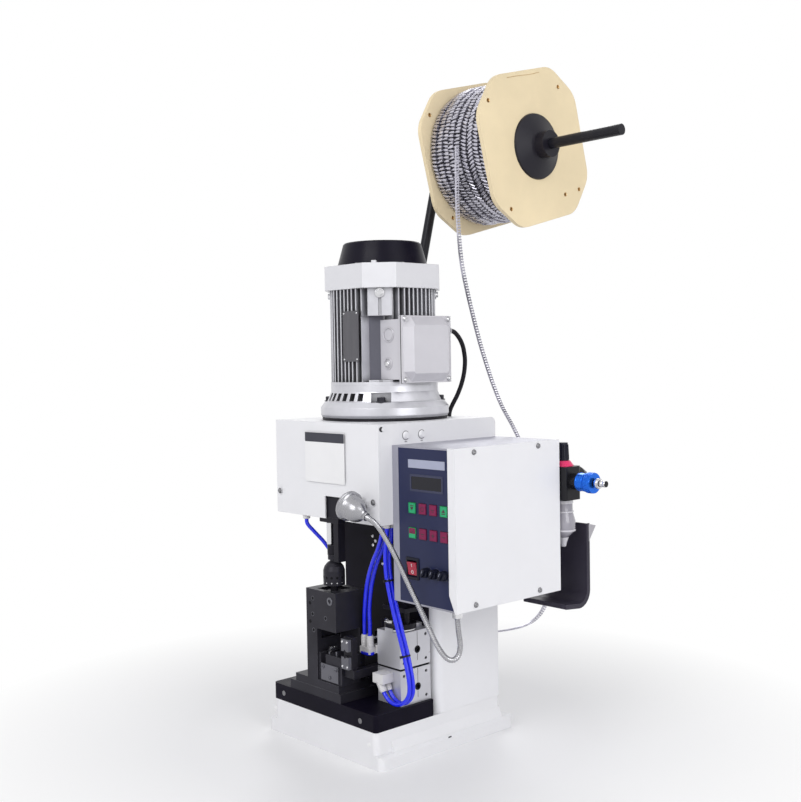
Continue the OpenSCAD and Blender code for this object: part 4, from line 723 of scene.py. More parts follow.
with piece("flange_score", "reel_board", "bronze", body="supply_reel") as bm:
    score = [on_flange(-38 + 7.6 * k, 107.0 + 0.5 * math.sin(k * 0.7), reel_high.x) for k in range(11)]
    swept(bm, score, lambda i: 0.4, 6)
print("bushings", 4 * len(FLANGE_HOLES))

# %% [markdown]
# ## The motor's small parts
# The cast motor body comes from the measured model. What is missing is what a fitter bolts to it: the
# rubber gasket under the flange, hexagon bolts in the flange's pockets and under the end band, and a
# rating plate held by four rivets.

# %% Helpers for screws and bolts
MOTOR_X, MOTOR_Y = 3.0, -4.0
WASHER_TOP = 1.3


def hex_bolt(bm, place, across, height, washer=0.0):
    """Hexagon head with a chamfered top and, if asked, a washer under it."""
    if washer:
        turned(bm, place, [(washer - 0.3, 0), (washer, 0.3), (washer, 1.1), (washer - 0.4, 1.4),
                           (0, 1.4)], 32)
    base = WASHER_TOP if washer else 0.0
    corner = across / 2 / math.cos(math.pi / 6)
    stack(bm, place, [(base, circle_outline(corner, 6)), (base + height - 0.8, circle_outline(corner, 6)),
                      (base + height, circle_outline(corner * 0.82, 6))])


def domed_screw(bm, place, radius, height):
    """Domed round head with a sunken middle."""
    turned(bm, place, [(radius, 0), (radius, height * 0.4), (radius * 0.86, height * 0.8),
                       (radius * 0.6, height), (radius * 0.22, height), (radius * 0.18, height * 0.35),
                       (0, height * 0.3)], 24)


def cap_screw(bm, place, radius, height):
    """Cylinder head with a chamfered rim and a round socket."""
    hole = radius * 0.52
    turned(bm, place, [(radius, 0), (radius, height - 0.4), (radius - 0.4, height), (hole, height),
                       (hole * 0.96, height * 0.45), (0, height * 0.4)], 24)


def around_motor(angle, radius, z):
    """A point round the motor's axis; angle 0 is +X and grows towards +Y."""
    turn = math.radians(angle)
    return Vector((MOTOR_X + radius * math.cos(turn), MOTOR_Y + radius * math.sin(turn), z))


print("fasteners ready")

# %% Put the gasket and the bolts on the motor
DIAGONALS = (45, 135, 225, 315)
POCKET_IN, POCKET_Z = 13.5, 519.6
BAND_BOLT_RADIUS, BAND_BOLT_Z = 80.6, 683.0
GASKET_THICK = 4.35
flange_low, flange_high = node_box("motor_flange")
flange_radius = (flange_high.x - flange_low.x) / 2
head_top = node_box("head_casing")[1].z
with piece("flange_gasket", "cable_rubber", "rubber_black") as bm:
    band(bm, facing((MOTOR_X, MOTOR_Y, head_top + 0.05), UP), flange_radius - 6, flange_radius - 2.4,
         0, GASKET_THICK, 0.4, 1.0, 128)

with piece("flange_bolts", "motor_metal", "tool_steel") as bm:
    for angle in DIAGONALS:
        hex_bolt(bm, facing(around_motor(angle, flange_radius - POCKET_IN, POCKET_Z), UP), 11, 6.4, 8.2)

with piece("band_bolts", "motor_metal", "bright_steel") as bm:
    for angle in DIAGONALS:
        out = around_motor(angle, 1, 0) - around_motor(angle, 0, 0)
        for radius, high, thick in ((7.4, 0.0, 2.6), (4.6, 2.4, 3.2)):
            turned(bm, facing(around_motor(angle, BAND_BOLT_RADIUS, BAND_BOLT_Z) + out * high, out),
                   [(radius - 0.5, 0), (radius, 0.5), (radius, thick - 0.6), (radius - 0.7, thick)], 32)
print("flange radius", round(flange_radius, 1), "gasket from", round(head_top, 1))

# %% [markdown]
# The fins end on one flat plane at the front, and the rating plate lies on it. Nothing is written on the
# plate: a fine brushed grain, a raised rim and four rivets are all that it shows.

# %% Rivet the blank plate on the fins
PLATE_FACE_Y = MOTOR_Y - 78.7
PLATE_MIDDLE_X, PLATE_MIDDLE_Z = 18.25, 619.0
PLATE_WIDE, PLATE_TALL = 35.5, 76.0
surface("plate_grey", (0.10, 0.098, 0.11), 0.42, metallic=0.25, mottle=0.16, mottle_scale=90,
        grain=0.012, grain_scale=1400, stretch=(1, 1, 0.1), edge=0.2)
plate_place = facing((PLATE_MIDDLE_X, PLATE_FACE_Y, PLATE_MIDDLE_Z), FORWARD)
with piece("rating_plate", "motor_metal", "plate_grey", edge=0.2) as bm:
    outline = rounded_outline(PLATE_WIDE, PLATE_TALL, 1.5)
    inner_outline = rounded_outline(PLATE_WIDE - 2.4, PLATE_TALL - 2.4, 0.8)
    stack(bm, plate_place, [(0, outline), (1.5, outline), (1.7, inner_outline)])
with piece("plate_rivets", "motor_metal", "bright_steel") as bm:
    for side_x, side_z in CORNERS:
        shift = Matrix.Translation((side_x * (PLATE_WIDE / 2 - 3), side_z * (PLATE_TALL / 2 - 3.5), 1.6))
        turned(bm, plate_place @ shift, [(1.5, 0), (1.3, 0.5), (0.7, 0.8), (0, 0.85)], 16)
print("plate", PLATE_WIDE, "by", PLATE_TALL, "mm")

# %% [markdown]
# ## The junction box's trim
# A dark gasket shows as a thin line between the box and its lid. The lid is held by four screws in its
# corners. Behind it, a flat cheek closes the front side of the part that joins the box to the motor, and
# a dark sheet of painted shadow stands in the recess between cheek and fins. Two round knock-outs in the
# cheek are closed, one of them by a bolt, and a moulded gland holds the cable.

# %% Fit the gasket, screws, cheek and painted shadow sheet
JBOX_HALF, LID_SCREW_IN = 50.0, 5
JBOX_MIDDLE = Vector((101.0, MOTOR_Y, 598.0))
CHEEK_Y = MOTOR_Y - (JBOX_HALF - 1.5)
CHEEK_LOW_Z, CHEEK_HIGH_Z = 553.2, 642.8
with piece("lid_gasket", "cable_rubber", "rubber_black") as bm:
    outer = rounded_outline(2 * JBOX_HALF + 0.5, 2 * JBOX_HALF + 0.5, 1.2)
    plate(bm, facing((JBOX_MIDDLE.x - 4.6, JBOX_MIDDLE.y, JBOX_MIDDLE.z), RIGHT), outer, 1.2)

with piece("lid_screws", "jbox_metal", "machined_steel") as bm:
    for side_y, side_z in CORNERS:
        spot = JBOX_MIDDLE + Vector((0, side_y, side_z)) * (JBOX_HALF - LID_SCREW_IN)
        turned(bm, facing(spot, RIGHT), [(4.3, 0), (4.3, 0.8), (3.9, 1.1), (3.4, 0.8), (0, 0.7)], 28)
        domed_screw(bm, facing(spot + Vector((0.7, 0, 0)), RIGHT), 3.1, 2.2)

with piece("adapter_cheek", "jbox_metal", "box_silver", edge=0.5) as bm:
    block(bm, (49.5, CHEEK_Y, CHEEK_LOW_Z), (94.8, MOTOR_Y - (JBOX_HALF - 10), CHEEK_HIGH_Z))
surface("shade_grey", (0.11, 0.11, 0.135), 0.5, mottle=0.1, grain=0.03, edge=0.4, specular=0.2)
# Painted shadow: a dark grey sheet stands in the recess, where the real surface is only in shade.
with piece("recess_shadow_sheet", "motor_metal", "shade_grey") as bm:
    sector = [around_motor(angle, radius, 0).xy
              for radius, angles in ((68.1, range(-64, -41, 2)), (66.9, range(-42, -65, -2)))
              for angle in angles]
    plate(bm, Matrix.Identity(4), sector, CHEEK_HIGH_Z + 6, CHEEK_LOW_Z)
print("cheek", CHEEK_LOW_Z, "to", CHEEK_HIGH_Z)

# %% Close the knock-outs and fit the gland
KNOCK_OUTS = ((69, 620, 9.5), (67, 577, 7.0))
GLAND = (86, 37.0, 626.5)
with piece("knock_outs", "jbox_metal", "box_silver") as bm:
    for x, z, radius in KNOCK_OUTS:
        turned(bm, facing((x, CHEEK_Y, z), FORWARD),
               [(radius + 2.2, 0), (radius + 2.2, 0.5), (radius + 1.6, 1.0), (radius + 0.4, 1.0),
                (radius, 0.25), (radius - 0.8, 0.25), (radius - 1.2, 0.7), (0, 0.9)], 40)
with piece("knock_out_bolt", "jbox_metal", "bright_steel", edge=0.3) as bm:
    x, z, radius = KNOCK_OUTS[1]
    hex_bolt(bm, facing((x, CHEEK_Y - 0.6, z), FORWARD), 8, 2.6)
with piece("cable_gland", "cable_rubber", "rubber_black") as bm:
    turned(bm, facing(GLAND, BACKWARD),
           [(7.6, 0), (7.6, 2.2), (7.0, 2.6), (7.0, 8), (7.8, 8.4), (8.0, 9.0), (8.0, 15), (7.2, 18),
            (5.2, 20.6), (4.4, 21.0), (3.7, 21.2)], 36)
print("knock-outs", len(KNOCK_OUTS))

# %% [markdown]
# ## Screws and plates on the white casings
# The casings are plain folded sheet, so what gives them scale is their hardware: domed screws at the
# cover's lower corners, a black screw and two spring plugs on the right side, four dark screws on the
# control box, and a label plate on the front. The plate is bare, with only its dark head band.

# %% Add the casing screws and plugs
COVER_SCREW_UP = 33.5
PLUG_OFFSETS = (55, 86.5)
PLUG_DOWN, SLIT_DOWN = 18, 27
CONTROL_SCREWS_Y, CONTROL_SCREWS_Z = (-64.8, 69), (245, 455)
cover_low, cover_high = node_box("head_cover")
head_side_x, head_front_y = cover_high.x, cover_low.y
surface("screw_black", (0.020, 0.020, 0.024), 0.34, metallic=0.4, mottle=0.2, grain=0.01, edge=0.2)
surface("screw_grey", (0.20, 0.20, 0.21), 0.36, metallic=0.7, mottle=0.2, grain=0.01, edge=0.2)


def on_head_side(back, down):
    """Frame on the head's right side, so far behind its front and below its top."""
    return facing((head_side_x, head_front_y + back, head_top - down), RIGHT)


with piece("cover_screws", "bright_steel", "screw_grey") as bm:
    for x in (cover_low.x + 10, cover_high.x - 11):
        z = cover_low.z + COVER_SCREW_UP
        turned(bm, facing((x, head_front_y, z), FORWARD),
               [(4.4, 0), (4.4, 0.5), (3.8, 0.7), (3.3, 0.4), (0, 0.4)], 28)
        domed_screw(bm, facing((x, head_front_y - 0.3, z), FORWARD), 3.2, 1.9)

with piece("side_screw", "black_steel", "screw_black") as bm:
    turned(bm, on_head_side(8, 7),
           [(3.6, 0), (3.6, 1.0), (3.0, 1.7), (1.6, 2.0), (1.4, 1.0), (0, 0.9)], 28)

with piece("side_plugs", "white_enamel", "powder_white") as bm:
    for offset in PLUG_OFFSETS:
        turned(bm, on_head_side(offset, PLUG_DOWN),
               [(5.9, 0), (5.9, 0.5), (5.2, 1.3), (3.4, 1.7), (2.2, 1.7), (1.9, 1.1), (0, 1.0)], 36)
with piece("side_plug_rings", "black_steel", "screw_grey") as bm:
    for offset in PLUG_OFFSETS:
        ring(bm, on_head_side(offset, PLUG_DOWN), 5.8, 6.9, 0.35, sides=36)
        plate(bm, on_head_side(offset, SLIT_DOWN), rounded_outline(4.6, 1.1, 0.5), 0.3)

lid_side_x = node_box("control_cover")[1].x
with piece("control_cover_screws", "black_steel", "screw_grey") as bm:
    for y in CONTROL_SCREWS_Y:
        for z in CONTROL_SCREWS_Z:
            domed_screw(bm, facing((lid_side_x - 2.2, y, z), RIGHT), 3.9, 2.6)
print("head side at", round(head_side_x, 1), "cover right at", round(lid_side_x, 1))

# %% Add the bare label plate and the screws low on the front
LABEL_X = 5
BED_FRONT_Y = -140
surface("label_white", (0.83, 0.83, 0.84), 0.5, mottle=0.02, grain=0.004, edge=0.1)
surface("label_dark", (0.020, 0.021, 0.036), 0.42, mottle=0.08, grain=0.004, edge=0.1)
with piece("front_label", "white_enamel", "label_white") as bm:
    plate(bm, facing((LABEL_X, head_front_y, 438.5), FORWARD), rounded_outline(94, 75, 1.5), 0.25)
with piece("front_label_band", "black_steel", "label_dark") as bm:
    plate(bm, facing((LABEL_X, head_front_y, 468.5), FORWARD), rounded_outline(93, 14, 1.0), 0.4)

with piece("bed_screws", "casting_black", "screw_grey") as bm:
    for x, z in ((-93, 65), (91, 64)):
        turned(bm, facing((x, BED_FRONT_Y, z), FORWARD),
               [(4.0, 0), (4.0, 0.2), (3.4, 0.4), (1.9, 0.4), (1.7, 0.1), (0, 0.05)], 28)
with piece("plinth_screws", "white_base", "label_white") as bm:
    for x, z in ((-115, 36.7), (110, 34)):
        turned(bm, facing((x, BED_FRONT_Y, z), FORWARD),
               [(3.8, 0), (3.8, 0.2), (3.2, 0.45), (1.8, 0.45), (1.6, 0.1), (0, 0.05)], 28)
print("label on", round(head_front_y, 1))

# %% [markdown]
# ## The control panel
# The panel is a printed film over a steel plate: eight keys behind the film, a display window, a lit
# rocker switch and three small rotary switches. The marks on keys and switch are generic: bars, rings,
# arrows, and the line and circle that say on and off. Each mark is a thin raised layer riding on its key.

# %% Make the display, bare name strip and rocker bezel
FILM_Y = -99.8
DISPLAY = (195.0, 410.4)
rocker_low, rocker_high = node_box("power_rocker")
rocker_x, rocker_z = (rocker_low.x + rocker_high.x) / 2, 289.0
surface("film_frame", (0.022, 0.026, 0.070), 0.36, grain=0.006, edge=0.1)
surface("name_strip", (0.36, 0.38, 0.50), 0.40, mottle=0.04, mottle_scale=30, grain=0.004, edge=0.1)
surface("mark_white", (0.80, 0.80, 0.82), 0.4, mottle=0.03, grain=0.003, edge=0.05)
surface("mark_grey", (0.22, 0.23, 0.30), 0.45, grain=0.003, edge=0.05)
surface("mark_dark", (0.05, 0.006, 0.025), 0.4, grain=0.003, edge=0.05)


def on_panel(x, z, proud=0.0):
    return facing((x, FILM_Y - proud, z), FORWARD)


def film_patch(bm, x, z, width, height, radius, proud, thick):
    plate(bm, on_panel(x, z, proud), rounded_outline(width, height, radius), thick)


with piece("name_strip", "panel_film", "name_strip") as bm:
    film_patch(bm, 195.2, 437.1, 73, 11.8, 0.8, 0, 0.3)
with piece("display_frame", "panel_film", "film_frame") as bm:
    outer, inner = rounded_outline(66, 24, 2.0), rounded_outline(60, 18, 1.2)
    stack(bm, on_panel(*DISPLAY), [(0, outer), (0.6, outer), (0.6, inner), (0, inner)], closed=True)
with piece("display_window", "panel_film", "display_glass") as bm:
    film_patch(bm, *DISPLAY, 61, 19, 1.0, -0.2, 0.45)
with piece("rocker_bezel", "knob_black", "knob_black") as bm:
    outer, inner = rounded_outline(27, 31, 2.2), rounded_outline(19.6, 23.6, 0.8)
    lip = rounded_outline(25, 29, 1.6)
    stack(bm, on_panel(rocker_x, rocker_z), [(0, outer), (1.2, outer), (2.0, lip), (2.0, inner),
                                             (-1.0, inner), (-1.0, outer)], closed=True)
print("rocker", [round(v, 1) for v in (*rocker_low, *rocker_high)])

# %% Mark the rocker with a line and a circle
UPPER_OUT, LOWER_OUT = Vector((0, -9.2, -2.0)), Vector((0, -9.4, -1.0))
with piece("rocker_marks", "rocker_red", "mark_white", body="switch") as bm:
    upper_spot = facing((rocker_x, rocker_low.y + 1.0, rocker_z + 4.8), UPPER_OUT)
    lower_spot = facing((rocker_x, rocker_low.y + 2.5, rocker_z - 4.9), LOWER_OUT)
    plate(bm, upper_spot, rounded_outline(1.0, 4.6, 0.3), 0.15, -0.4)
    ring(bm, lower_spot, 1.7, 2.5, 0.15, -0.4)
print("rocker marked at", round(rocker_x, 1))

# %% Mark the eight keys
KEY_MARKS = ["down", "ring", "bar", "up", "step", "bar", "plus", "minus"]
GREEN_KEYS = (1, 4)
SPLIT_KEY = 5


def bar(width, height, shift=0.0, radius=0.4, thick=0.15):
    """Part of a mark: an outline, how far it sits up the key, and how thick it is."""
    return rounded_outline(width, height, radius), shift, thick


MARK_PARTS = {
    "up": [([(-3.6, -1.4), (3.6, -1.4), (0, 3.4)], 0.0, 0.15), bar(7.2, 1.2, -3.2, 0.3)],
    "down": [([(0, -3.4), (3.6, 1.4), (-3.6, 1.4)], 0.0, 0.15), bar(7.2, 1.2, 3.2, 0.3)],
    "ring": [],
    "step": [bar(6.8 - abs(shift), 1.1, shift, 0.3) for shift in (-2.2, 0, 2.2)],
    "bar": [bar(6.4, 1.5), bar(3.2, 1.2, -2.8)],
    "plus": [bar(6.4, 1.5), bar(1.5, 6.4, thick=0.17)],
    "minus": [bar(6.4, 1.5)],
}

surface("green_soft", (0.022, 0.36, 0.15), 0.42, grain=0.004, edge=0.1, specular=0.3)
surface("red_soft", (0.20, 0.008, 0.062), 0.42, grain=0.004, edge=0.1, specular=0.3)
for index, kind in enumerate(KEY_MARKS, start=1):
    key_low, key_high = node_box(f"key_{index}")
    x, z = (key_low.x + key_high.x) / 2, (key_low.z + key_high.z) / 2
    front = FILM_Y - key_low.y
    body = f"button_{index}"
    color = "green" if index in GREEN_KEYS else "red"
    with piece(f"key_{index}_film", f"key_{color}", f"{color}_soft", body=body) as bm:
        film_patch(bm, x, z, 12.4, 13.4, 2.0, front, 0.25)
    with piece(f"key_{index}_mark", f"key_{color}", "mark_dark", body=body) as bm:
        spot = on_panel(x, z, front + 0.2)
        for outline, shift, thick in MARK_PARTS[kind]:
            plate(bm, spot @ Matrix.Translation((0, shift, 0)), outline, thick)
        if kind == "ring":
            ring(bm, spot, 2.5, 3.6, 0.15)
    if index == SPLIT_KEY:
        with piece(f"key_{index}_lower", "key_green", "green_soft", body=body) as bm:
            film_patch(bm, x, z - 3.9, 12.4, 5.6, 1.2, front + 0.1, 0.28)
print("keys", len(KEY_MARKS))

# %% [markdown]
# The rotary switches are the small kind with a thumb bar. The bar leans to the position that is set, and
# a grey line shows where it points. Round the shaft lies a dark washer.

# %% Give the rotary switches their thumb bars
SWITCHES = (1, 2, 3)
SWITCH_RIBS = 18
SWITCH_LEAN = Matrix.Rotation(math.radians(-28), 4, "Z")


def turn_step(k, count):
    """Turn about local Z by k steps of a full round."""
    return Matrix.Rotation(2 * math.pi * k / count, 4, "Z")


for index in SWITCHES:
    low, high = node_box(f"selector_{index}")
    x, z = (low.x + high.x) / 2, (low.z + high.z) / 2
    radius = (high.x - low.x) / 2
    front = FILM_Y - low.y
    place = on_panel(x, z, front - 0.6) @ SWITCH_LEAN
    with piece(f"selector_{index}_grip", "knob_black", "knob_black", body=f"knob_{index}", edge=0.3) as bm:
        wide = rounded_outline(4.6, radius * 2 - 0.6, 1.6)
        slim = rounded_outline(2.6, radius * 2 - 2.4, 1.0)
        stack(bm, place, [(0, wide), (3.2, wide), (4.4, slim)])
        for k in range(SWITCH_RIBS):
            rib = on_panel(x, z, 1.0) @ turn_step(k, SWITCH_RIBS) @ Matrix.Translation((radius, 0, 0))
            stack(bm, rib, [(0, circle_outline(0.55, 8)), (front - 2.4, circle_outline(0.4, 8))])
    with piece(f"selector_{index}_line", "knob_black", "mark_grey", body=f"knob_{index}") as bm:
        plate(bm, place @ Matrix.Translation((0, radius * 0.42, 4.4)),
              rounded_outline(0.9, radius - 1.6, 0.3), 0.15)
    with piece(f"selector_{index}_washer", "panel_film", "film_frame") as bm:
        hollow(bm, on_panel(x, z), [(radius + 1.4, 0), (radius + 1.2, 0.4), (radius - 0.5, 0.45),
                                    (radius - 0.5, 0)], 36)
print("rotary switches", len(SWITCHES))

# %% [markdown]
# ## The air regulator
# The regulator hangs on its bracket beside the box. Its body is black, the lock ring under the knob is
# red, and the bowl is smoky plastic with a metal drain. The knob and the sleeve turn and slide, so their
# ribs ride on them and not on the machine.

# %% Colour the regulator's lock ring, bowl and knob
REG = Vector((240.8, 139.0, 398.0))
KNOB_RIBS = 20
surface("bowl_smoke", (0.30, 0.29, 0.33), 0.12, mottle=0.10, mottle_scale=40, coat=0.5)
surface("bowl_clear", (0.56, 0.55, 0.59), 0.10, mottle=0.08, mottle_scale=40, edge=0.4, coat=0.6)
reg_up, reg_right = facing(REG, UP), facing(REG, RIGHT)

with piece("regulator_lock_ring", "regulator_body", "ring_red") as bm:
    hollow(bm, reg_up, [(13.0, 21.9), (16.3, 21.9), (16.5, 22.5), (16.1, 23.4), (11.6, 29.6), (10.9, 30.2),
                        (9.8, 30.2)], 64)
with piece("regulator_bowl", "regulator_body", "bowl_smoke") as bm:
    hollow(bm, reg_up, [(12.0, -28.4), (14.3, -28.4), (14.3, -45.8), (15.9, -52.0), (18.3, -60.2),
                        (18.3, -72.9), (13.3, -79.3), (8.4, -84.4), (6.0, -85.2)], 64)
with piece("regulator_bowl_rings", "regulator_body", "bowl_clear") as bm:
    for low, high, radius in ((-34.0, -28.6, 15.2), (-47.4, -45.0, 15.8), (-75.4, -72.6, 18.7)):
        band(bm, reg_up, radius - 3, radius, low, high, 0.4, 0.4)
    turned(bm, reg_up, [(0, -99.2), (3.7, -99.2), (4.2, -98.6), (5.4, -92.0), (8.3, -85.0), (0, -84.0)], 40)
with piece("regulator_knob_ribs", "knob_black", "knob_black", body="pressure_knob") as bm:
    for k in range(KNOB_RIBS):
        turn = turn_step(k, KNOB_RIBS)
        rod(bm, REG + turn @ Vector((9.3, 0, 31.6)), REG + turn @ Vector((8.3, 0, 54.0)), 0.62, 8, 0.2)
print("regulator at", REG)

# %% Rib the coupler's sleeve and add its plug and the tray's ear
SLEEVE_RIBS, SLEEVE_RADIUS = 44, 14.95
TRAY_EAR_X = 256.4
# Painted light: a lighter grey copy of the tray's sheet for its ear, where light falls on it.
surface("tray_ear_lit_grey", (0.40, 0.39, 0.42), 0.36, metallic=0.3, mottle=0.06, grain=0.01, edge=0.3)
# Near-black finish for painted shade in holes, slots, grooves and gaps that are not cut into the mesh.
surface("painted_hole_shade", (0.006, 0.006, 0.008), 0.6, mottle=0.2, edge=0.1, specular=0.1)

with piece("sleeve_ribs", "sleeve_blue", "sleeve_blue", body="sleeve") as bm:
    for k in range(SLEEVE_RIBS):
        rib = reg_right @ turn_step(k, SLEEVE_RIBS) @ Matrix.Translation((SLEEVE_RADIUS, 0, 0))
        plate(bm, rib, circle_outline(0.45, 6), 57.8, 49.2)
    for low, high, radius in ((33.4, 34.6, 13.9), (43.2, 44.6, 13.9), (46.6, 47.4, 12.7)):
        band(bm, reg_right, radius - 2, radius, low, high, 0.2, 0.3, 56)
with piece("plug_collars", "bright_steel", "bright_steel") as bm:
    hollow(bm, reg_right, [(5.0, 63.0), (7.5, 63.0), (7.8, 63.4), (7.8, 67.6), (7.2, 68.6), (5.6, 68.8),
                           (5.0, 69.0)], 48)
    hollow(bm, reg_right, [(3.0, 70.4), (4.8, 70.4), (5.0, 71.0), (5.0, 74.6), (4.4, 75.4), (4.8, 76.0),
                           (4.8, 79.4), (4.2, 80.3), (2.7, 80.3), (2.6, 78.0)], 40)
# Painted shade: a dark disc stands in the plug's bore.
with piece("plug_bore_shadow", "bright_steel", "painted_hole_shade") as bm:
    turned(bm, reg_right, [(0, 80.0), (2.7, 80.0), (2.7, 80.38), (0, 80.38)], 24)
# Painted light: the ear is the tray's own sheet, given a lighter grey where it is lit.
with piece("tray_ear", "tray_sheet", "tray_ear_lit_grey", edge=0.3) as bm:
    plate(bm, facing((TRAY_EAR_X, 0, 0), RIGHT), [(177.0, 303.0), (194.0, 326.0), (177.0, 330.0)], 2.6)
print("sleeve ribs", SLEEVE_RIBS)

# %% [markdown]
# ## Fittings and ties on the air tubes
# Push-in fittings have a ribbed white barrel and a loose ring at the mouth. Two small black ties hold
# the long pair of tubes together where it swings out over the bed.

# %% Rib the push-in fittings
RIB_PITCH = 2.4
ELBOW = Matrix.Translation((52, -90, 0))


def push_in(bm, mouth, way, length, radius=5.8):
    """Ribbed barrel that starts at its mouth and runs along a direction."""
    profile = [(radius - 2.0, 0.0), (radius - 0.9, 0.0), (radius - 0.7, 1.6), (radius, 1.8)]
    height = 1.8
    while height < length - RIB_PITCH:
        profile += [(radius, height + 1.5), (radius - 0.45, height + 1.8), (radius - 0.45, height + 2.2),
                    (radius, height + RIB_PITCH)]
        height += RIB_PITCH
    profile += [(radius, length), (radius - 2.0, length)]
    hollow(bm, facing(mouth, way, BACKWARD), profile, 32)


with piece("fitting_barrels", "fitting", "fitting_white") as bm:
    for x in (46, 58):
        push_in(bm, (x, -90, 173.4), DOWN, 17.0)
    for y in (-102, -91):
        push_in(bm, (100.9, y, 99.9), (-0.545, 0, 0.839), 17.5)
    outline = rounded_outline(22.6, 12.6, 2.0)
    plate(bm, ELBOW, outline, 150.2, 149.0)
    plate(bm, ELBOW, outline, 156.4, 153.6)
with piece("fitting_ring", "air_tube", "tube_blue") as bm:
    edge_line, bulge = rounded_outline(22, 12, 5), rounded_outline(23, 13, 5)
    stack(bm, ELBOW, [(144.6, edge_line), (146.1, bulge), (148.4, bulge), (149.2, edge_line)])
with piece("bulkhead_rings", "fitting", "fitting_white") as bm:
    left, *others = TUBE_ROUTES.values()
    for route in others:
        hollow(bm, facing(route[0], UP),
               [(3.2, -0.5), (4.0, -0.5), (5.0, 0.6), (5.0, 5.4), (3.2, 5.4)], 28)
    for mouth, way, length in ((left[0], UP, 5.4), ((-22, -86, 262.4), DOWN, 4.4)):
        hollow(bm, facing(mouth, way),
               [(3.2, -0.5), (4.4, -0.5), (5.7, 0.6), (5.7, length), (3.2, length)], 28)
print("bulkhead rings", len(TUBE_ROUTES))

# %% Tie the long tubes together
TIES = [((113.4, -103, 265), (114.4, -96, 265), (-0.1, 0, 1)),
        ((138.8, -96, 158), (140.2, -89.2, 158), (-0.28, 0, 1))]
with piece("tube_ties", "cable_rubber", "rubber_black") as bm:
    for first, second, way in TIES:
        first, second = Vector(first), Vector(second)
        apart = (second - first).length
        place = facing((first + second) / 2, way, second - first)
        plate(bm, place, rounded_outline(7.4, 7.4 + apart, 3.6), 1.2, -1.2)
        knot_place = place @ Matrix.Translation((0, -(9.4 + apart) / 2, 0))
        plate(bm, knot_place, rounded_outline(3.6, 3.4, 0.6), 1.8, -1.8)
print("ties", len(TIES))

# %% [markdown]
# ## The stripping unit's small parts
# The two cylinder blocks stand on each other, and the gap between them is a thin dark piece of painted
# shade. On their outer side each has a port, drawn as a dark ring and disc of painted shade, a groove above
# and below it, drawn as thin dark strips of painted shade, and four screws sunk in the corners, drawn as
# dark discs. The round plate that slides on top carries two bright nuts and a stop.

# %% Trim the cylinder blocks and the sliding plate
BLOCK_X, PORT_Y = 120.0, -52.0
SLIDING_PLATE = Vector((95.0, -62.0, 195.4))
# Painted shade: dark pieces for the gap between the blocks, the ports, the grooves and the sunk screws.
with piece("painted_block_shade", "actuator_metal", "painted_hole_shade") as bm:
    block(bm, (71.0, -85.2, 130.1), (119.2, -83.5, 132.9))
    block(bm, (118.0, -84.5, 130.1), (119.3, -28.0, 132.9))
    for foot in (78.0, 133.0):
        middle = foot + 24.0
        hollow(bm, facing((BLOCK_X - 3, PORT_Y, middle), RIGHT),
               [(2.9, 0), (5.6, 0), (5.6, 3.3), (5.0, 3.6), (2.9, 3.6)], 32)
        disc(bm, facing((BLOCK_X - 5.4, PORT_Y, middle), RIGHT), 4.1, 0.5)
        for y in (-79, -35):
            for z in (foot + 8, foot + 44):
                disc(bm, facing((BLOCK_X - 2.6, y, z), RIGHT), 2.2, 0.8, 20)
        for low_z, high_z in ((middle + 6.4, foot + 51), (foot + 8, middle - 6.4)):
            block(bm, (BLOCK_X - 0.2, PORT_Y - 0.35, low_z), (BLOCK_X + 0.12, PORT_Y + 0.35, high_z))

with piece("plate_nuts", "black_steel", "bright_steel", body="strip_carriage", edge=0.3) as bm:
    for x in (-14, 14):
        hex_bolt(bm, facing(SLIDING_PLATE + Vector((x, -14, 0)), UP), 6.5, 3.6, 4.2)
    block(bm, SLIDING_PLATE + Vector((-8, -20.5, 0)), SLIDING_PLATE + Vector((3, -15, 5.2)))
with piece("plate_rim", "black_steel", "machined_steel", body="strip_carriage") as bm:
    hollow(bm, facing(SLIDING_PLATE, UP), [(22.8, -10.0), (23.7, -9.4), (23.7, -7.6), (22.8, -7.2)], 72)
print("sliding plate at", SLIDING_PLATE)

# %% Screw the blade holders together
JAW_SCREW_IN, JAW_SCREW_UP = 2.6, 4
for level in ("upper", "lower"):
    jaw_low, jaw_high = node_box(f"jaw_{level}")
    screw_z = jaw_high.z - JAW_SCREW_UP if level == "upper" else jaw_low.z + JAW_SCREW_UP
    with piece(f"{level}_jaw_screws", "jaw_steel", "bright_steel", body=f"{level}_jaw") as bm:
        for x in (jaw_low.x + JAW_SCREW_IN, jaw_high.x - JAW_SCREW_IN):
            cap_screw(bm, facing((x, jaw_low.y, screw_z), FORWARD), 1.7, 1.0)
    print(level, "jaw screws at", round(screw_z, 1))

# %% [markdown]
# ## The applicator's small parts
# The applicator is a block of black tool steel with a bright tool in its window. Screw holes, drawn as
# dark discs of painted shade, a locating ring and a clamping plate with three screws break up its front.
# The dial that sets the crimp height has holes round its rim, also dark discs of painted shade, and light
# marks under them, and it turns, so they ride on it.

# %% Detail the applicator's front
APPLICATOR_Y = -138.7
PLATE_Y = -138.2
RIMMED_HOLES = ((-16, 226, 2.6), (-17, 202, 2.6), (-15, 178, 2.6), (14, 200, 2.4))
PLAIN_HOLES = ((-23, 218, 2.9), (-23, 190, 2.9))
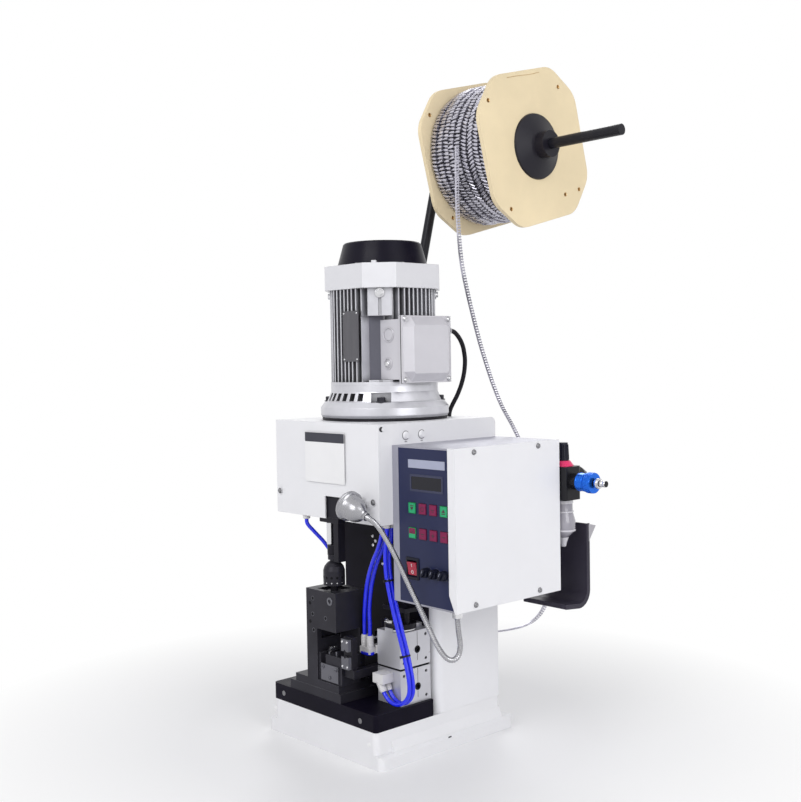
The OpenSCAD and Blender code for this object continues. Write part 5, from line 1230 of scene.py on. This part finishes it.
# Painted shade: flat dark discs stand in for the screw holes.
with piece("applicator_hole_shadows", "applicator_steel", "painted_hole_shade") as bm:
    for x, z, radius in RIMMED_HOLES + PLAIN_HOLES:
        disc(bm, facing((x, APPLICATOR_Y, z), FORWARD), radius, 0.42)
with piece("applicator_plate", "bright_steel", "ground_steel", edge=0.2) as bm:
    hollow(bm, facing((25, APPLICATOR_Y, 226.9), FORWARD),
           [(3.0, 0), (6.2, 0), (6.2, 1.0), (5.4, 1.4), (3.4, 1.4), (3.0, 1.0)], 40)
    for x, z, radius in RIMMED_HOLES:
        ring(bm, facing((x, APPLICATOR_Y, z), FORWARD), 2.6, 3.4, 0.4)
    block(bm, (0, PLATE_Y, 106), (40, PLATE_Y + 2.4, 131))
    for x, z in ((35.6, 126), (20.6, 112), (5.0, 126)):
        cap_screw(bm, facing((x, PLATE_Y, z), FORWARD), 2.7, 1.6)
    for x, z in ((13.8, 149.0), (30.5, 152.0)):
        rod(bm, (x, -132, 140), (x, -132, z), 1.5, 16, 0.6)
print("applicator holes", len(RIMMED_HOLES + PLAIN_HOLES))

# %% Mark the dial and sleeve the ram's post
DIAL = Vector((3.0, -112.0, 246.0))
DIAL_MARKS = 12
DIAL_RADIUS = 16.2
dial_ways = [turn_step(k + 0.25, DIAL_MARKS) @ Vector(FORWARD) for k in range(DIAL_MARKS)]
# Painted shade: flat dark discs stand in for the holes round the dial.
with piece("dial_hole_shadows", "dial_steel", "painted_hole_shade", body="dial") as bm:
    for out in dial_ways:
        disc(bm, facing(DIAL + out * DIAL_RADIUS + Vector((0, 0, 12)), out), 1.9, 0.45, 18)
with piece("dial_marks", "dial_steel", "machined_steel", body="dial") as bm:
    for out in dial_ways:
        disc(bm, facing(DIAL + out * DIAL_RADIUS + Vector((0, 0, 4)), out), 1.0, 0.42, 14)
with piece("ram_post_sleeve", "black_steel", "bright_steel", body="ram") as bm:
    hollow(bm, facing((-3, -113, 306), UP),
           [(4.9, 0), (5.5, 0.5), (5.5, 33), (4.9, 33.6), (3.0, 33.6), (3.0, 0)], 40)
print("dial", DIAL)

# %% [markdown]
# ## Last fasteners
# A few more screws and one slot finish the sheet metal: heads on the black frame's front behind the tubes,
# heads on the top of the motor's end band, and the slot in the base's side, drawn as a dark plate of
# painted shade.

# %% Place the last fasteners
FRAME_FRONT_Y = -84.0
BAND_TOP_RADIUS, BAND_TOP_Z = 76.5, 727.4
SLOT_Y, SLOT_Z = -2, 17.6
FRAME_SCREWS = ((61.8, 321.9), (68.4, 315.2), (62.6, 308.6), (83.0, 283.0))
BAND_SCREW_ANGLES = (-72, -18, 18, 108, 162, 198)
base_high = node_box("base")[1]
with piece("frame_screws", "casting_black", "bright_steel") as bm:
    for x, z in FRAME_SCREWS:
        cap_screw(bm, facing((x, FRAME_FRONT_Y, z), FORWARD), 2.4, 1.8)
with piece("band_screws", "band_metal", "machined_steel") as bm:
    for angle in BAND_SCREW_ANGLES:
        domed_screw(bm, facing(around_motor(angle, BAND_TOP_RADIUS, BAND_TOP_Z), UP), 2.6, 1.6)
# Painted shade: a thin dark plate stands in for the slot.
with piece("base_slot_shadow", "white_base", "painted_hole_shade") as bm:
    plate(bm, facing((base_high.x - 0.3, SLOT_Y, SLOT_Z), RIGHT), rounded_outline(6.4, 1.9, 0.9), 0.42)
print("last screws", len(FRAME_SCREWS) + len(BAND_SCREW_ANGLES))

# %% [markdown]
# ## Floor, light and air
# The machine stands on a plain pale floor in even light. Two large soft lamps and one rim lamp model
# the shapes, the world fills the shadows, and what the camera and the reflections see of the world is
# white. The floor fades to that white away from the machine, so no horizon cuts the picture.

# %% Lay the floor
HALF_FLOOR = 3.0
FADE_FROM, FADE_TO = 0.32, 0.75
WHITE = (1, 1, 1, 1)
EITHER = {"operation": "MAXIMUM"}


def floor_material():
    """Pale floor that glows white, for the camera and in reflections, away from the machine."""
    material = bpy.data.materials.new("floor")
    material.use_nodes = True
    tree = material.node_tree
    shader = tree.nodes["Principled BSDF"]
    feed(tree, shader, Base_Color=(0.86, 0.86, 0.87, 1), Roughness=0.7)
    far = add(tree, "VectorMath", "Value", add(tree, "TexCoord", "Object"), settings={"operation": "LENGTH"})
    fade = add(tree, "MapRange", "Result", Value=far, From_Min=FADE_FROM, From_Max=FADE_TO)
    ray = tree.nodes.new("ShaderNodeLightPath").outputs
    seen = add(tree, "Math", "Value", ray["Is Camera Ray"], ray["Is Glossy Ray"], settings=EITHER)
    both = add(tree, "Math", "Value", fade, seen, settings=MULTIPLY)
    glow = add(tree, "Emission", "Emission", Color=WHITE)
    mixed = add(tree, "MixShader", "Shader", both, shader.outputs["BSDF"], glow)
    feed(tree, tree.nodes["Material Output"], Surface=mixed)
    return material


floor_mesh = bpy.data.meshes.new("floor")
floor_mesh.from_pydata([(-HALF_FLOOR, -HALF_FLOOR, 0), (HALF_FLOOR, -HALF_FLOOR, 0),
                        (HALF_FLOOR, HALF_FLOOR, 0), (-HALF_FLOOR, HALF_FLOOR, 0)], [], [(0, 1, 2, 3)])
floor_mesh.materials.append(floor_material())
show("floor", floor_mesh)
print("floor", 2 * HALF_FLOOR, "m wide")

# %% Light the studio
def world_light(ambient):
    """World that lights with a grey but shows white to camera, reflections and clear pieces."""
    world = bpy.data.worlds.new("studio")
    scene.world = world
    world.use_nodes = True
    tree = world.node_tree
    soft = tree.nodes["Background"]
    feed(tree, soft, Color=(*ambient, 1))
    white = add(tree, "Background", "Background", Color=WHITE)
    ray = tree.nodes.new("ShaderNodeLightPath").outputs
    seen = add(tree, "Math", "Value", ray["Is Camera Ray"], ray["Is Glossy Ray"], settings=EITHER)
    clear = add(tree, "Math", "Value", seen, ray["Is Transmission Ray"], settings=EITHER)
    mixed = add(tree, "MixShader", "Shader", clear, soft.outputs["Background"], white)
    feed(tree, tree.nodes["World Output"], Surface=mixed)


def soft_lamp(name, place, aim, size, watts):
    """Rectangular lamp that looks at a point."""
    data = bpy.data.lights.new(name, "AREA")
    data.shape = "RECTANGLE"
    data.size, data.size_y = size
    data.energy = watts
    lamp = show(name, data)
    lamp.location = place
    lamp.rotation_euler = (Vector(aim) - Vector(place)).to_track_quat("-Z", "Y").to_euler()


MACHINE_MIDDLE = (0.1, 0.0, 0.5)
world_light((0.50, 0.50, 0.51))
soft_lamp("key_lamp", (0.6, -2.4, 1.9), MACHINE_MIDDLE, (1.6, 1.6), 34)
soft_lamp("side_lamp", (2.5, -0.2, 1.3), MACHINE_MIDDLE, (1.4, 1.8), 24)
soft_lamp("rim_lamp", (-1.6, 1.8, 2.0), MACHINE_MIDDLE, (1.2, 1.2), 18)
print("lamps", len(bpy.data.lights))
